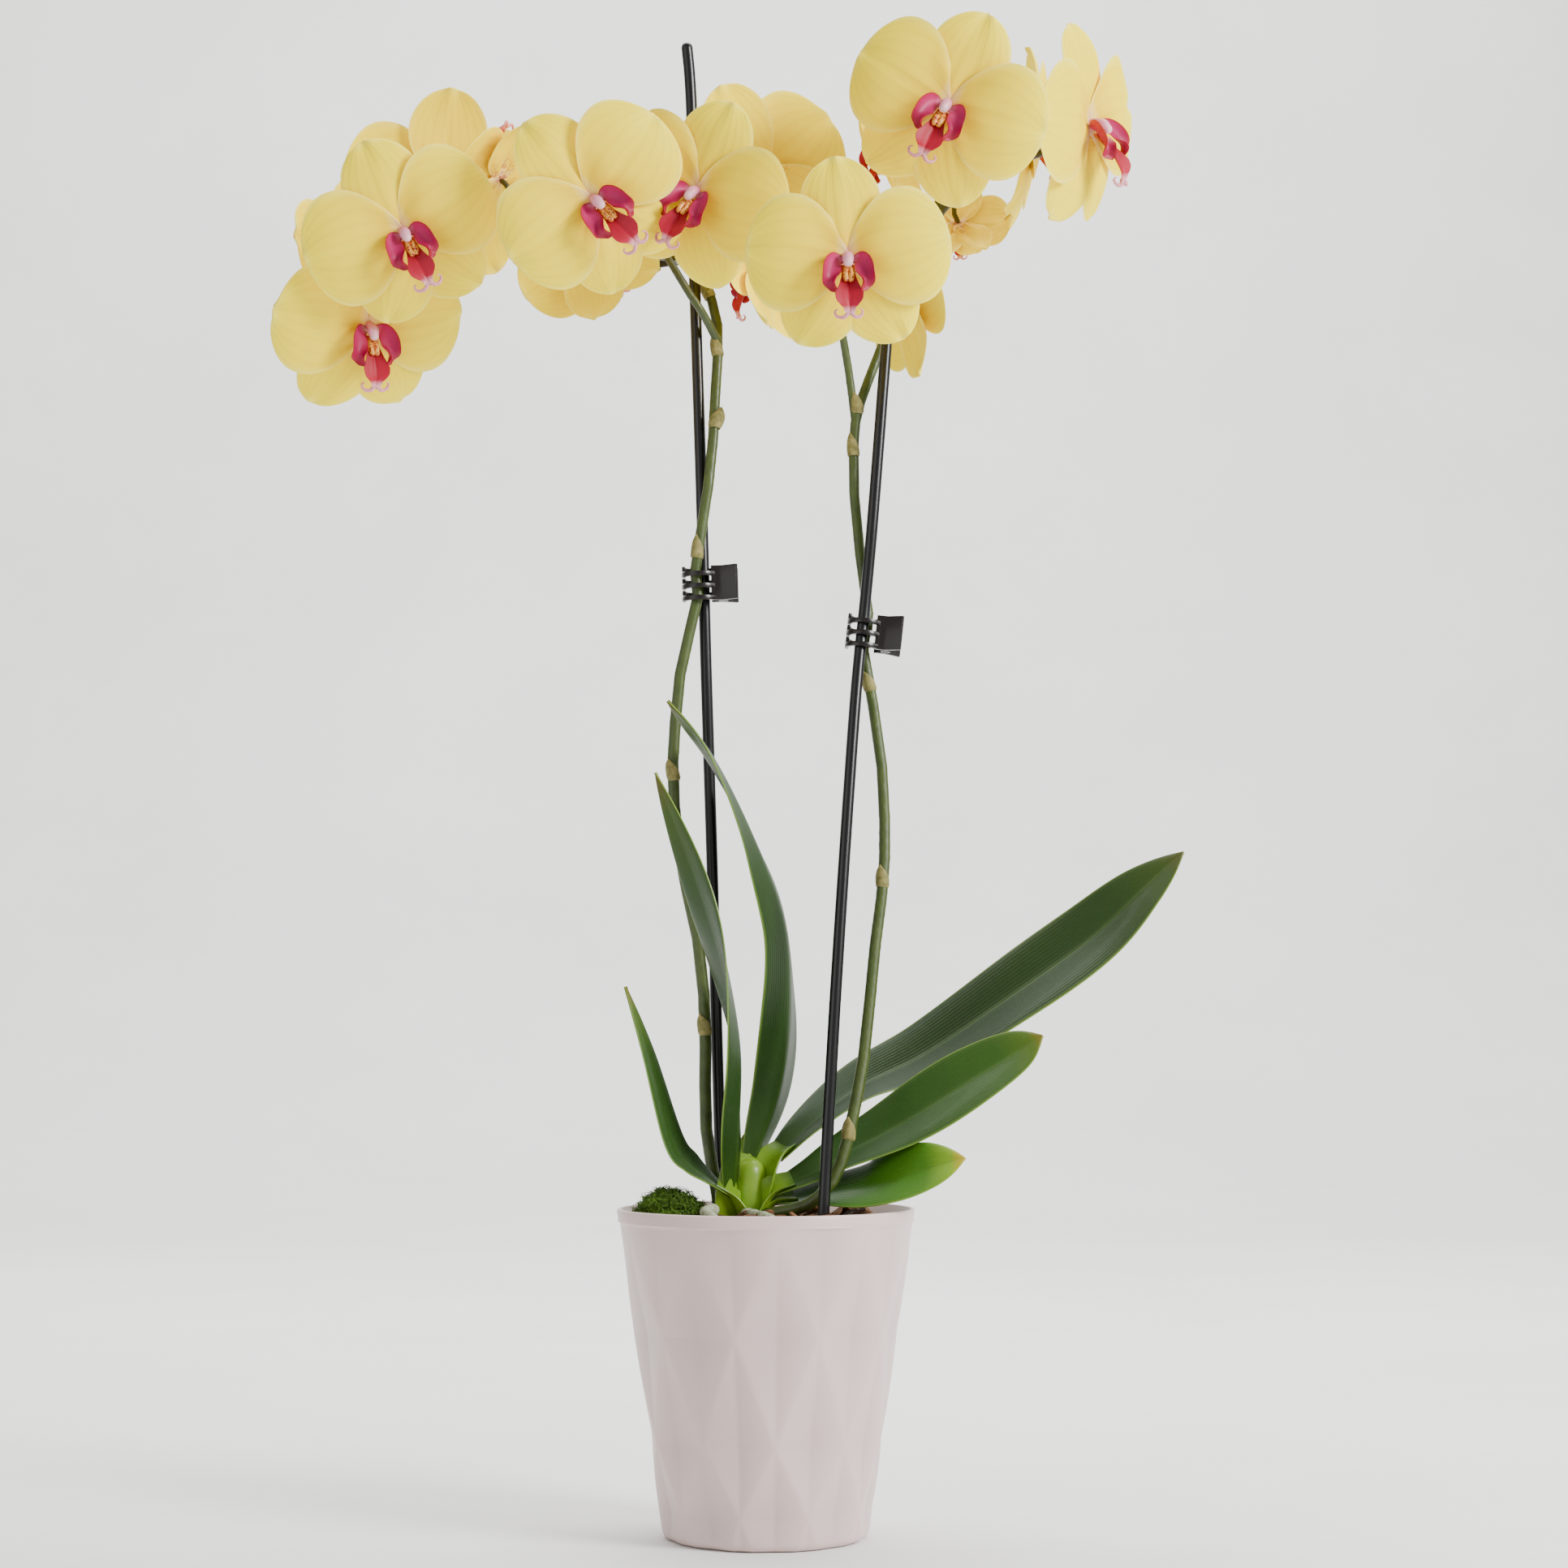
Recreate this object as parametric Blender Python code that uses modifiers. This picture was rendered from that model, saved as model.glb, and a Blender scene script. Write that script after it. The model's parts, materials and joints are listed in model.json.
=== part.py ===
"""Potted moth orchid: a tapered pot with a diamond relief, an inner grower pot with bark and moss,
a crown with six leaves, two flower spikes held to two stakes by claw clips, and open blooms.

Metres, +Z up.  The origin is the centre of the pot's underside and the front faces -Y.
"""

import math

import bmesh
import bpy
from mathutils import Matrix, Vector

MM = 0.001
GAP = 0.3 * MM
WELD = 0.01 * MM

# Decorative pot
POT_HEIGHT = 137.5 * MM
POT_TOP_RADIUS = 63.5 * MM
POT_BASE_RADIUS = 44.0 * MM
POT_FOOT_ROUND = 4.0 * MM
POT_RIM_BAND = 6.0 * MM
POT_RIM_WALL = 2.2 * MM
POT_WALL = 1.6 * MM
POT_FLOOR = 3.0 * MM
RELIEF_DEPTH = 2.6 * MM
RELIEF_DEPTH_AT_RIM = 0.7 * MM
RELIEF_COLUMNS = 10
RELIEF_TURN = math.radians(23.0)
RELIEF_ROW_SHARES = (-0.15, 0.10, 0.32, 0.66, 1.0)

# Inner grower pot
GROWER_TOP_BELOW_RIM = 19.5 * MM
GROWER_HEIGHT = POT_HEIGHT - GROWER_TOP_BELOW_RIM
GROWER_BASE_RADIUS = 34 * MM
GROWER_TOP_CLEARANCE = 1.6 * MM
GROWER_WALL = 1.2 * MM
GROWER_HOLE_RADIUS = 4 * MM
GROWER_HOLE_RING = 20 * MM
GROWER_HOLES = 5

# Bark, moss and crown
BARK_TOP_BELOW_RIM = 7.5 * MM
BARK_TOP = POT_HEIGHT - BARK_TOP_BELOW_RIM
BARK_BUMP = 1.2 * MM
BARK_TOP_CLEARANCE = 1.5 * MM
CROWN_AT = Vector((-7, 2)) * MM
CROWN_DEPTH = 34 * MM
CROWN_RISE = 26 * MM
CROWN_BOTTOM = BARK_TOP - CROWN_DEPTH
CROWN_TOP = BARK_TOP + CROWN_RISE
CROWN_RADIUS = 9 * MM
MOSS_AT = Vector((-41, -8)) * MM
MOSS_RADII = Vector((14.5, 24, 14)) * MM
MOSS_LUMPS = (0.06, 0.05)
MOSS_BASE_SHARE = 0.1
ROOT_RADIUS = 2.6 * MM
ROOT_END_RADIUS = 0.8 * ROOT_RADIUS

# Each root's route in mm, with heights above the bark that it lies on.
ROOTS = {
    "root_left": ((-20, -20, 3), (-26, -36, 4), (-18, -48, 0)),
    "root_front": ((-10, -19, 1), (-2, -34, 2), (6, -49, 0)),
}

# Stakes, spikes and clips
STAKE_RADIUS = 2.5 * MM
SPIKE_RADIUS = 2.9 * MM
SPIKE_END_RADIUS = 2.0 * MM
BRANCH_END_RADIUS = 1.7 * MM
PEDICEL_RADIUS = 1.5 * MM
PEDICEL_END_RADIUS = 0.9 * PEDICEL_RADIUS
PEDICEL_STANDOFF = 0.4 * MM
PEDICEL_OUT_SHARE = 0.45
PEDICEL_NECK_SHARE = 0.3
PEDICEL_RISE_SHARE = 0.06
CLIP_TOUCH_GAP = 0.4 * MM
CLIP_GRIP_SLACK = 0.9 * MM
CLIP_STRAIGHT = 9 * MM
CLIP_WALL = 1.5 * MM
CLIP_HEIGHT = 15 * MM
CLIP_PRONGS = 3
CLIP_PRONG_HEIGHT = 1.9 * MM
CLIP_PIN_RADIUS = 0.9 * MM
CLIP_KNUCKLE_RADIUS = 2.2 * MM
CLIP_TAB_LENGTH = 7.5 * MM
CLIP_TAB_SPREAD = math.radians(30)
CLIP_PRONG_FROM = 22
CLIP_PRONG_TO = 196
CLIP_WEB_BACK = 0.4 * MM
CLIP_WEB_FRONT = 0.3 * MM
CLIP_WEB_INSET = 0.2 * MM
CLIP_SPLIT_SHARE = 0.2

# Leaves and blooms
LEAF_THICKNESS = 1.6 * MM
LEAF_KEEL = 0.30
LEAF_BASE_SHARE = 0.30
LEAF_TIP_SHARE = 0.06
LEAF_TIP_BLUNTNESS = 1.9
PETAL_THICKNESS = 1.0 * MM
PETAL_BOW = 0.04
LIP_SPAN_SHARE = 0.27
LIP_STANDOFF = 0.5 * MM


# Places on the plant are given in mm for a bark top at this height, and rise and fall with the bark.
PLACES_BARK_TOP = 130 * MM
PLANT_LIFT = Vector((0, 0, BARK_TOP - PLACES_BARK_TOP))


def place_mm(x, y, z):
    return Vector((x, y, z)) * MM + PLANT_LIFT


def points_mm(*rows):
    return [place_mm(*row) for row in rows]


# Routes of the stems and stakes, from the bottom up, chosen by eye on a standing plant.
LEFT_STAKE_ROUTE = points_mm(
    (-16, 9, 45), (-19, 9, 138), (-22, 7, 240), (-24, 5, 307), (-26, 2, 370), (-28, 1.5, 440),
    (-30, 3, 500), (-32, 4, 560), (-33, 4, 618), (-35, 4, 644),
)
RIGHT_STAKE_ROUTE = points_mm(
    (20, -25, 45), (24, -28, 134), (30, -21, 237), (38, -8, 350), (42, -2.6, 390), (46, -3, 432),
    (52, -2, 508), (54, -2, 535),
)
LEFT_SPIKE_ROUTE = points_mm(
    (-20, -1, 133), (-21, 0, 146), (-25, 1, 165), (-26, 2, 189), (-26, 2, 212), (-28, 0, 244),
    (-34, -2, 273), (-38, -3, 296), (-40, -4, 321), (-39, -4, 345), (-36, -4, 372),
    (-26, -4, 440), (-23, -2, 469), (-22, 1, 494), (-21, 5, 516), (-24, 8, 532), (-36, 17, 580),
    (-51, 18, 589), (-70, 20, 592), (-90, 15, 586), (-106, 6, 576), (-117, 2, 570), (-127, 1, 561),
    (-136, 1, 550), (-145, 1, 538),
)
LEFT_BRANCH_ROUTE = points_mm(
    (-21, 4, 512), (-27, -6, 522), (-34, -9, 532), (-40, -10, 542), (-46, -10, 551), (-54, -10, 558),
)
RIGHT_SPIKE_ROUTE = points_mm(
    (-2, -12, 135), (8, -17, 137), (18, -20, 140), (26, -21, 147), (32, -20, 158), (37, -17, 178),
    (42, -12, 205), (46, -7, 244), (50, -3, 275), (51, 0, 300), (49, 2, 335),
    (39, 3, 433), (38, 4, 467), (40, 4, 482), (45, 6, 497),
    (50, 8, 510), (56, 9, 527), (62, 10, 544), (69, 11, 560), (77, 12, 573), (86, 13, 582),
    (98, 14, 590), (110, 15, 596), (122, 14, 600),
)
RIGHT_BRANCH_ROUTE = points_mm(
    (39, 4, 476), (36, 1, 498), (33, -5, 514), (31, -12, 524), (29, -22, 530),
)

STAKE_ROUTES = {"left": LEFT_STAKE_ROUTE, "right": RIGHT_STAKE_ROUTE}
STEM_ROUTES = {
    "left": LEFT_SPIKE_ROUTE, "left_branch": LEFT_BRANCH_ROUTE,
    "right": RIGHT_SPIKE_ROUTE, "right_branch": RIGHT_BRANCH_ROUTE,
}

# Each leaf: its centre line from the crown to the tip, its widest width in mm, where along it that
# falls, and the way its upper face looks at the base and at the tip.
LEAVES = {
    "leaf_centre_tall": (
        points_mm((-5, 3, 159), (6, 7, 190), (10, 6, 222), (8, 2, 258), (-4, -7, 292), (-22, -16, 328),
                  (-41, -23, 352)),
        40, 0.35, (-0.8, 0.7, 0.2), (-0.9, -0.4, 0.3),
    ),
    "leaf_left_tall": (
        points_mm((-14, -10, 147), (-12, -14, 172), (-11, -17, 205), (-17, -20, 240), (-28, -23, 275),
                  (-46, -25, 321)),
        32, 0.5, (-0.8, 0.5, 0.3), (-0.7, -0.7, 0.2),
    ),
    "leaf_left_small": (
        points_mm((-15, -11, 143), (-25, -14, 150), (-33, -15, 156), (-40, -16, 166), (-50, -18, 202),
                  (-59, -21, 231)),
        18, 0.5, (0.2, -0.3, 0.9), (0.9, -0.5, 0.3),
    ),
    "leaf_right_large": (
        points_mm((4, 4, 157), (20, 16, 172), (42, 23, 188), (70, 21, 202), (107, 16, 227),
                  (140, 13, 251), (162, 11, 272), (180, 10, 289)),
        40, 0.6, (-0.5, -0.5, 0.8), (-0.3, -0.8, 0.5),
    ),
    "leaf_right_middle": (
        points_mm((4, -6, 145), (20, -5, 152), (36, -3, 161), (53, -4, 170), (68, -6, 179),
                  (88, -8, 192), (107, -10, 204), (117, -12, 211)),
        34, 0.6, (-0.4, -0.5, 0.8), (-0.2, -0.8, 0.5),
    ),
    "leaf_right_short": (
        points_mm((4, -3, 139.5), (16, -1, 141), (29, -5, 143.5), (43, -14, 146), (57, -22, 150.5),
                  (70, -29, 155.5), (83, -34, 160)),
        30, 0.65, (-0.1, -0.3, 1.0), (-0.1, -0.95, 0.62),
    ),
}

# Each bloom: hub in mm, the compass turn and tilt of the way it faces (0, 0 looks along -Y), its
# roll about that direction in degrees, its span in mm, the stem that bears it and the share of that
# stem's length where its pedicel leaves.
BLOOMS = {
    "01": ((-172, -12, 516), 30, -28, 8, 86, "left", 1.00),
    "02": ((-153, -44, 549), 12, -20, 28, 84, "left", 0.98),
    "03": ((-178, 20, 553), -130, -10, 0, 82, "left", 0.96),
    "04": ((-145, 36, 591), -165, 8, 0, 90, "left", 0.90),
    "05": ((-117, -1, 584), -110, 42, 180, 74, "left", 0.88),
    "06": ((-72, -54, 560), 14, -20, 47, 86, "left_branch", 1.00),
    "07": ((-29, -40, 567), -20, -13, -28, 84, "left", 0.70),
    "08": ((-3, 44, 598), -158, 4, -32, 90, "left", 0.68),
    "09": ((34, -70, 531), 0, -14, 2, 85, "right_branch", 1.00),
    "10": ((62, 35, 537), 112, 8, 165, 72, "right", 0.74),
    "11": ((-4, 10, 545), -112, -8, 0, 66, "right_branch", 0.80),
    "12": ((77, -42, 604), -8, -13, -25, 87, "right", 0.88),
    "13": ((55, 18, 604), -110, -10, 0, 80, "right", 0.84),
    "14": ((140, -6, 606), 60, -5, 17, 92, "right", 1.00),
    "15": ((120, 64, 619), 90, -5, 0, 94, "right", 0.97),
    "16": ((87, 52, 578), 165, -20, 0, 48, "right", 0.90),
    "17": ((-79, 44, 563), 170, -8, -40, 72, "left", 0.82),
}

# How far in mm a pedicel bends out of its straight way to pass a neighbour.
PEDICEL_SWINGS = {
    "04": (2, 8, -12),
    "07": (4, 0, 0),
}

# Each clip: its stake and stem, its height in mm, and the compass turns in degrees from +X to the stem
# it holds against the stake and to its hinge.
CLIPS = {
    "clip_left": ("left", 405, 238, 0),
    "clip_right": ("right", 384, 72, 0),
    "clip_top": ("left", 556, 70, 180),
}

# Lobes of a bloom, from the dorsal sepal round by the left petal: direction and half width in degrees,
# share of the bloom's half span, how far the lobe leans to the front, and the outline's share of its
# length at the shoulders and the sides.
LOBES = (
    (90, 25, 0.93, -0.05, (0.62, 0.93)),
    (174, 38, 1.00, 0.06, (0.84, 0.99)),
    (241, 24, 0.97, -0.08, (0.70, 0.94)),
    (299, 24, 0.97, -0.08, (0.70, 0.94)),
    (366, 38, 1.00, 0.06, (0.84, 0.99)),
)
NOTCH_SHARE = 0.42


def clear_scene():
    for obj in list(bpy.data.objects):
        bpy.data.objects.remove(obj)


def new_collection(name, hidden=False):
    collection = bpy.data.collections.new(name)
    bpy.context.scene.collection.children.link(collection)
    collection.hide_render = hidden
    return collection


def material(name, colour, roughness, metallic=0.0):
    made = bpy.data.materials.new(name)
    made.use_nodes = True
    shader = made.node_tree.nodes["Principled BSDF"]
    shader.inputs["Base Color"].default_value = (*colour, 1.0)
    shader.inputs["Roughness"].default_value = roughness
    shader.inputs["Metallic"].default_value = metallic
    return made


def add_object(name, mesh, collection, finish=None):
    obj = bpy.data.objects.new(name, mesh)
    if finish:
        mesh.materials.clear()
        mesh.materials.append(finish)
    collection.objects.link(obj)
    return obj


def mesh_from(name, shape):
    """A mesh from a bmesh, with its faces turned outwards and shaded smooth."""
    mesh = bpy.data.meshes.new(name)
    bmesh.ops.recalc_face_normals(shape, faces=shape.faces)
    shape.to_mesh(mesh)
    shape.free()
    mesh.shade_smooth()
    mesh.set_sharp_from_angle(angle=math.radians(40))
    return mesh


def bent_grid(name, across, along, place):
    """A flat grid of across x along cells whose points move to place(u, v), with u and v from 0 to 1.
    Points that meet, such as a seam or a pole, are welded."""
    shape = bmesh.new()
    bmesh.ops.create_grid(shape, x_segments=across, y_segments=along, size=0.5)
    for vert in shape.verts:
        vert.co = place(vert.co.x + 0.5, vert.co.y + 0.5)
    bmesh.ops.remove_doubles(shape, verts=shape.verts, dist=WELD)
    return mesh_from(name, shape)


def on_route(route, share):
    """The point at this share of a smooth curve through the route's points."""
    spans = len(route) - 1
    place = min(max(share, 0.0), 1.0) * spans
    i = min(int(place), spans - 1)
    t = place - i
    b, c = route[i], route[i + 1]
    a = route[i - 1] if i > 0 else 2 * b - c
    d = route[i + 2] if i + 2 <= spans else 2 * c - b
    return 0.5 * (2 * b + (c - a) * t + (2 * a - 5 * b + 4 * c - d) * t * t
                  + (3 * b - a - 3 * c + d) * t * t * t)


def along_route(route, share):
    step = 0.01
    return (on_route(route, share + step) - on_route(route, share - step)).normalized()


def solidify(obj, thickness, offset=0.0):
    wall = obj.modifiers.new("wall", "SOLIDIFY")
    wall.thickness = thickness
    wall.offset = offset
    return wall


def boolean(obj, operation, other):
    cut = obj.modifiers.new(operation.lower(), "BOOLEAN")
    cut.operation = operation
    cut.solver = "EXACT"
    if isinstance(other, bpy.types.Collection):
        cut.operand_type = "COLLECTION"
        cut.collection = other
    else:
        cut.object = other
    return cut


def evaluated_mesh(obj):
    graph = bpy.context.evaluated_depsgraph_get()
    return bpy.data.meshes.new_from_object(obj.evaluated_get(graph), depsgraph=graph)


def tube_mesh(name, route, start_radius, end_radius, sides, steps):
    """A closed tube with filled caps along a smooth route, welded into one mesh."""
    curve = bpy.data.curves.new(name, "CURVE")
    curve.dimensions = "3D"
    curve.bevel_depth = start_radius
    curve.bevel_resolution = max(0, sides // 2 - 2)
    curve.use_fill_caps = True
    spline = curve.splines.new("POLY")
    spline.points.add(steps)
    for i in range(steps + 1):
        share = i / steps
        spline.points[i].co = (*on_route(route, share), 1.0)
        spline.points[i].radius = 1.0 + (end_radius / start_radius - 1.0) * share
    obj = bpy.data.objects.new(name, curve)
    bpy.context.scene.collection.objects.link(obj)
    bpy.context.view_layer.update()
    mesh = evaluated_mesh(obj)
    bpy.data.objects.remove(obj)
    bpy.data.curves.remove(curve)
    shape = bmesh.new()
    shape.from_mesh(mesh)
    bpy.data.meshes.remove(mesh)
    bmesh.ops.remove_doubles(shape, verts=shape.verts, dist=WELD)
    return mesh_from(name, shape)


def lathe_mesh(name, profile, segments):
    """A closed profile of (radius, height) pairs turned about Z."""
    last = len(profile) - 1

    def place(u, v):
        at = min(int(round(v * last)), last)
        radius, height = profile[at]
        angle = 2 * math.pi * u
        return Vector((radius * math.cos(angle), radius * math.sin(angle), height))

    return bent_grid(name, segments, last, place)


# Decorative pot

def pot_radius(height):
    """The pot's outer radius on its ridges at a height above the foot's rounding."""
    share = height / POT_HEIGHT
    return POT_BASE_RADIUS + (POT_TOP_RADIUS - POT_BASE_RADIUS) * share


def relief(angle, height):
    """How deep the diamond relief is at a point, from 0 on a ridge to 1 in a diamond's middle.
    Each row's nodes stand half a column off the next row's, and ridges run straight between them."""
    rows = [share * (POT_HEIGHT - POT_RIM_BAND) for share in RELIEF_ROW_SHARES]
    if height >= rows[-1]:
        row, climb = len(rows) - 1, 0.0
    else:
        row = max(i for i in range(len(rows) - 1) if rows[i] <= height)
        climb = (height - rows[row]) / (rows[row + 1] - rows[row])
    column = (angle - RELIEF_TURN) / (2 * math.pi) * RELIEF_COLUMNS + 0.5 * (row % 2)
    off_node = 2 * abs(column - round(column))
    return abs(off_node - climb)


def relief_depth(height):
    """The relief is full up to its middle row and fades above it, towards the rim."""
    start = RELIEF_ROW_SHARES[-2] * (POT_HEIGHT - POT_RIM_BAND)
    fade = min(max((height - start) / (POT_HEIGHT - POT_RIM_BAND - start), 0.0), 1.0)
    return RELIEF_DEPTH + (RELIEF_DEPTH_AT_RIM - RELIEF_DEPTH) * fade


def inner_radius(height):
    """The smooth inside of the pot, a full wall behind the relief's deepest points."""
    if height > POT_HEIGHT - POT_RIM_BAND:
        share = (POT_HEIGHT - height) / POT_RIM_BAND
        return pot_radius(height) - POT_RIM_WALL - share * (RELIEF_DEPTH + POT_WALL - POT_RIM_WALL)
    return pot_radius(height) - RELIEF_DEPTH - POT_WALL


def make_pot(parts, finish):
    rows = [share * (POT_HEIGHT - POT_RIM_BAND) for share in RELIEF_ROW_SHARES[1:]]
    stations = [("foot", 0.0, 0.0), ("foot", 0.0, 1.0), ("wall", POT_FOOT_ROUND, 1.0)]
    stations += [("wall", height, 1.0) for height in rows]
    stations += [("wall", POT_HEIGHT, 0.0), ("inner", POT_HEIGHT, 0.0),
                 ("inner", POT_HEIGHT - POT_RIM_BAND, 0.0), ("inner", POT_FLOOR, 0.0),
                 ("floor", POT_FLOOR, 0.0)]
    last = len(stations) - 1

    def place(u, v):
        kind, height, relief_share = stations[min(int(round(v * last)), last)]
        angle = 2 * math.pi * u + RELIEF_TURN
        if kind == "foot":
            radius = (POT_BASE_RADIUS - POT_FOOT_ROUND) * relief_share
        elif kind == "wall":
            radius = pot_radius(height) - relief_depth(height) * relief(angle, height) * relief_share
        elif kind == "inner":
            radius = inner_radius(height)
        else:
            radius = 0.0
        return Vector((radius * math.cos(angle), radius * math.sin(angle), height))

    mesh = bent_grid("pot", 4 * RELIEF_COLUMNS, last, place)
    return add_object("decorative_pot", mesh, parts, finish)


# Inner grower pot, bark, moss, roots and crown

def grower_top_radius():
    return inner_radius(GROWER_HEIGHT) - GROWER_TOP_CLEARANCE


def make_grower_pot(parts, cutters, finish):
    low = POT_FLOOR + GAP
    floor = low + GROWER_WALL
    top = grower_top_radius()
    profile = [(0, low), (GROWER_BASE_RADIUS, low), (top, GROWER_HEIGHT),
               (top - GROWER_WALL, GROWER_HEIGHT), (GROWER_BASE_RADIUS - GROWER_WALL, floor), (0, floor)]
    obj = add_object("grower_pot", lathe_mesh("grower_pot", profile, 32), parts, finish)
    drills = new_drills(low, floor)
    cutters.objects.link(drills)
    drills.hide_render = True
    drills.display_type = "WIRE"
    boolean(obj, "DIFFERENCE", drills)
    return obj


def new_drills(low, floor):
    shape = bmesh.new()
    for i in range(GROWER_HOLES):
        angle = 2 * math.pi * i / GROWER_HOLES
        at = Vector((math.cos(angle), math.sin(angle), 0)) * GROWER_HOLE_RING
        at.z = (low + floor) / 2
        bmesh.ops.create_cone(shape, cap_ends=True, segments=10, radius1=GROWER_HOLE_RADIUS,
                              radius2=GROWER_HOLE_RADIUS, depth=4 * GROWER_WALL,
                              matrix=Matrix.Translation(at))
    return bpy.data.objects.new("grower_pot_drills", mesh_from("grower_pot_drills", shape))


def crown_profile(grow=0.0):
    stations = ((0.0, 0.55), (0.45, 0.85), (0.7, 1.0), (0.88, 0.85), (1.0, 0.4))
    height = CROWN_TOP - CROWN_BOTTOM
    profile = [(0, CROWN_BOTTOM - grow)]
    profile += [(CROWN_RADIUS * share + grow, CROWN_BOTTOM + height * rise) for rise, share in stations]
    profile[1] = (profile[1][0], CROWN_BOTTOM - grow)
    profile.append((0, CROWN_TOP + grow))
    return profile


def make_crown(parts, finish):
    obj = add_object("crown", lathe_mesh("crown", crown_profile(), 16), parts, finish)
    obj.location = (*CROWN_AT, 0)
    return obj


def make_bark(parts, cutters, finish):
    """Bark fills the grower pot and mounds over its edge to meet the decorative pot."""
    low = POT_FLOOR + 2 * GAP + GROWER_WALL
    base = GROWER_BASE_RADIUS - GROWER_WALL - GAP
    neck = grower_top_radius() - GROWER_WALL - GAP
    rise = GROWER_HEIGHT + GAP
    spill = inner_radius(rise) - BARK_TOP_CLEARANCE
    neck_low = neck - (neck - base) * 0.1
    profile = [(0, low), (base, low), (neck_low, low + (rise - low) * 0.9), (neck, rise),
               (spill, rise + 2 * MM), (spill, BARK_TOP - 2 * MM), (spill * 0.8, BARK_TOP),
               (spill * 0.5, BARK_TOP), (spill * 0.2, BARK_TOP), (0, BARK_TOP)]
    last = len(profile) - 1

    def place(u, v):
        at = min(int(round(v * last)), last)
        radius, height = profile[at]
        angle = 2 * math.pi * u
        bump = math.sin(5 * angle + at) * math.cos(3 * angle - 2 * at)
        if height == BARK_TOP and radius > 0:
            height += BARK_BUMP * bump
        return Vector((radius * math.cos(angle), radius * math.sin(angle), height))

    obj = add_object("bark_mix", bent_grid("bark_mix", 32, last, place), parts, finish)
    bore = STAKE_RADIUS + 2 * GAP
    sockets = {
        "left_stake_socket": tube_mesh("left_stake_socket", LEFT_STAKE_ROUTE[:3], bore, bore, 8, 4),
        "right_stake_socket": tube_mesh("right_stake_socket", RIGHT_STAKE_ROUTE[:3], bore, bore, 8, 4),
        "crown_socket": lathe_mesh("crown_socket", crown_profile(GAP), 16),
    }
    for name, mesh in sockets.items():
        socket = add_object(name, mesh, cutters)
        socket.hide_render = True
        socket.display_type = "WIRE"
        if name == "crown_socket":
            socket.location = (*CROWN_AT, 0)
        boolean(obj, "DIFFERENCE", socket)
    return obj


def make_moss(parts, finish):
    """A low cushion of moss: a flattened ball with a flat underside and a lumpy crown."""
    shape = bmesh.new()
    bmesh.ops.create_icosphere(shape, subdivisions=3, radius=1.0)
    for vert in shape.verts:
        x, y, z = vert.co
        lump = 1 + MOSS_LUMPS[0] * math.sin(7 * x + 3 * y) + MOSS_LUMPS[1] * math.cos(6 * y - 4 * z)
        rise = max(z, -MOSS_BASE_SHARE)
        vert.co = Vector((x * MOSS_RADII.x, y * MOSS_RADII.y, rise * MOSS_RADII.z)) * lump
    bottom = min(vert.co.z for vert in shape.verts)
    for vert in shape.verts:
        if vert.co.z < 0:
            vert.co.z = bottom
    obj = add_object("moss", mesh_from("moss", shape), parts, finish)
    obj.location = (*MOSS_AT, BARK_TOP + BARK_BUMP + GAP - bottom)
    return obj


def make_roots(parts, finish):
    lie = Vector((0, 0, BARK_TOP + BARK_BUMP + ROOT_RADIUS + GAP))
    for name, places in ROOTS.items():
        route = [Vector(place) * MM + lie for place in places]
        add_object(name, tube_mesh(name, route, ROOT_RADIUS, ROOT_END_RADIUS, 6, 6), parts, finish)


# Leaves

def make_leaf(name, route, width, widest, base_face, tip_face, parts, finish):
    """A strap leaf: a grid bent along its centre line, folded to a shallow keel, then thickened."""
    half = 0.5 * width * MM

    def half_width(share):
        if share < widest:
            rise = math.sin(0.5 * math.pi * share / widest)
            return half * (LEAF_BASE_SHARE + (1 - LEAF_BASE_SHARE) * rise)
        fall = (share - widest) / (1 - widest)
        return half * max(LEAF_TIP_SHARE, 1 - fall ** LEAF_TIP_BLUNTNESS)

    def place(u, v):
        tangent = along_route(route, v)
        face = Vector(base_face).lerp(Vector(tip_face), v)
        side = tangent.cross(face).normalized()
        face = side.cross(tangent).normalized()
        off = 2 * u - 1
        reach = half_width(v)
        return on_route(route, v) + side * (off * reach) + face * (LEAF_KEEL * abs(off) * reach)

    obj = add_object(name, bent_grid(name, 4, 10, place), parts, finish)
    solidify(obj, LEAF_THICKNESS)
    return obj


# Blooms

def bloom_matrix(hub, turn, tilt, roll):
    """Local +Z is the way the bloom faces and local +Y its dorsal sepal."""
    turn, tilt, roll = math.radians(turn), math.radians(tilt), math.radians(roll)
    facing = Vector((math.sin(turn) * math.cos(tilt), -math.cos(turn) * math.cos(tilt), math.sin(tilt)))
    right = Vector((math.cos(turn), math.sin(turn), 0))
    up = facing.cross(right)
    frame = Matrix((right, up, facing)).transposed().to_4x4()
    return Matrix.Translation(place_mm(*hub)) @ frame @ Matrix.Rotation(roll, 4, "Z")


def bloom_outline():
    """(angle, reach, lean) round a bloom: five points on each lobe and one in each notch."""
    rim = []
    for i, (middle, half, reach, lean, (side, shoulder)) in enumerate(LOBES):
        for off, share in ((-1, side), (-0.5, shoulder), (0, 1), (0.5, shoulder), (1, side)):
            rim.append((middle + off * half, reach * share, lean))
        following = LOBES[(i + 1) % len(LOBES)]
        next_start = following[0] - following[1] + (360 if i + 1 == len(LOBES) else 0)
        rim.append(((middle + half + next_start) / 2, NOTCH_SHARE, 0.0))
    return rim


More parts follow.
